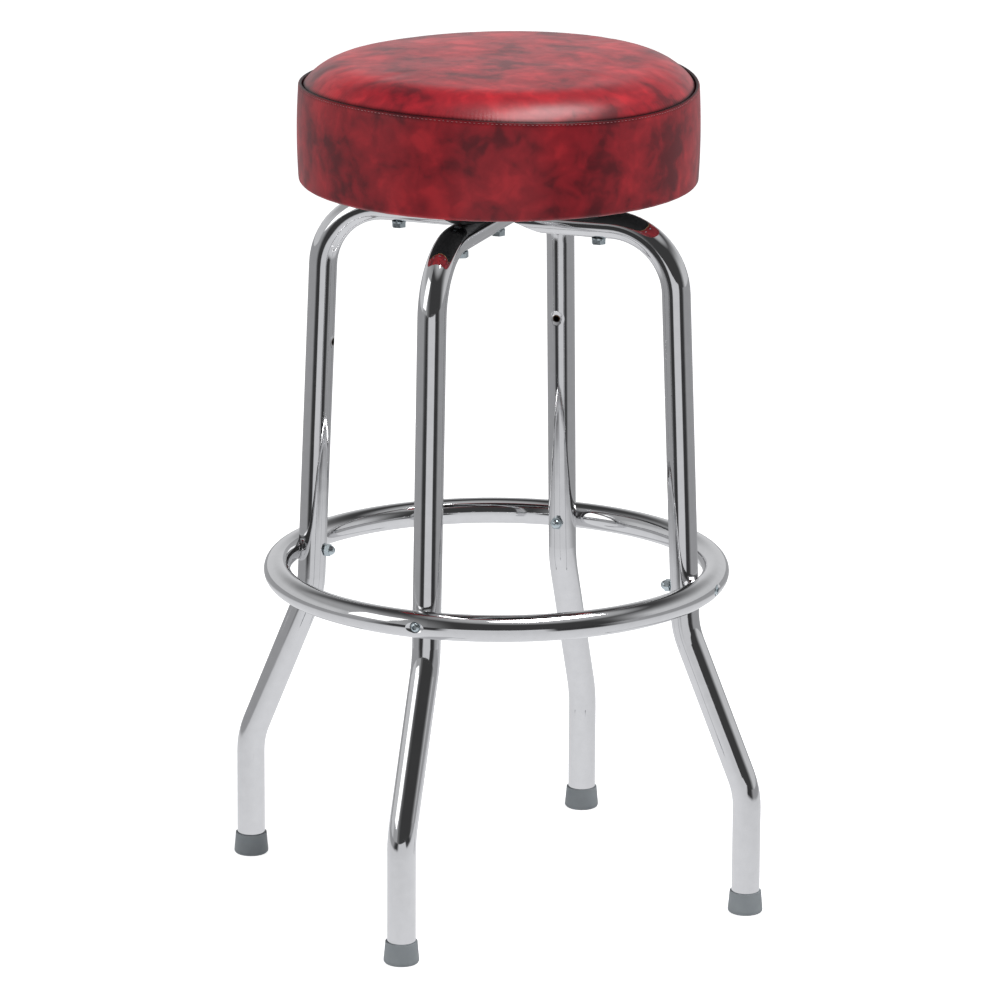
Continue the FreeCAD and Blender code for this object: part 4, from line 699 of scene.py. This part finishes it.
halo = add(tree, "ShaderNodeMath", {0: around_box.outputs["Result"], 1: ray.outputs["Is Glossy Ray"]},
           operation="MULTIPLY")
bright = add(tree, "ShaderNodeMath", {0: walls.outputs[0], 1: halo.outputs[0]}, operation="MAXIMUM")
level = add(tree, "ShaderNodeMapRange", {"Value": bright.outputs[0], "To Min": 0.06, "To Max": 0.74})
tree.links.new(level.outputs["Result"], tree.nodes["Background"].inputs["Strength"])
tree.nodes["Background"].inputs["Color"].default_value = linear("#fcfdff")


def soft_box(name, place, aim, width, depth, power):
    """Rectangular soft light at a place, turned to face a point."""
    lamp = bpy.data.lights.new(name, "AREA")
    lamp.shape = "RECTANGLE"
    lamp.size = width
    lamp.size_y = depth
    lamp.energy = power
    holder = bpy.data.objects.new(name, lamp)
    holder.location = place
    holder.rotation_euler = (Vector(aim) - Vector(place)).to_track_quat("-Z", "Y").to_euler()
    bpy.context.scene.collection.objects.link(holder)
    return holder


soft_box("overhead_soft_box", BOX_PLACE, (0, 0, 0.6), 1.4, 0.7, 46)
soft_box("left_soft_box", beside(1.2, -2.4, 1.6), (0, 0, 0.5), 1.2, 1.8, 10)


# Camera
# A long lens 5.4 m away and a metre above the seat, looking down by 15 degrees. It stands 20
# degrees round from the front leg, and its slight roll is that of the photograph.

DISTANCE = 5.4282
HEIGHT = 1.8173
PITCH = math.radians(15.038)
YAW = math.radians(0.030)
ROLL = math.radians(0.305)
FOCAL_WIDTHS = 6.2814
lens = bpy.data.cameras.new("camera")
lens.sensor_width = 36
lens.lens = lens.sensor_width * FOCAL_WIDTHS
lens.clip_end = 100
camera = bpy.data.objects.new("camera", lens)
bpy.context.scene.collection.objects.link(camera)
ahead = Vector((-TO_CAMERA[0], -TO_CAMERA[1], 0))
across = Vector((-TO_CAMERA[1], TO_CAMERA[0], 0))
level_look = across * math.sin(YAW) + ahead * math.cos(YAW)
look = level_look * math.cos(PITCH) - Vector((0, 0, math.sin(PITCH)))
side = across * math.cos(YAW) - ahead * math.sin(YAW)
upward = side.cross(look)
right = side * math.cos(ROLL) + upward * math.sin(ROLL)
above = upward * math.cos(ROLL) - side * math.sin(ROLL)
turn = Matrix((right, above, -look)).transposed().to_4x4()
camera.matrix_world = Matrix.Translation(beside(DISTANCE, 0, HEIGHT)) @ turn
bpy.context.scene.camera = camera
bpy.context.scene.view_settings.view_transform = "Standard"
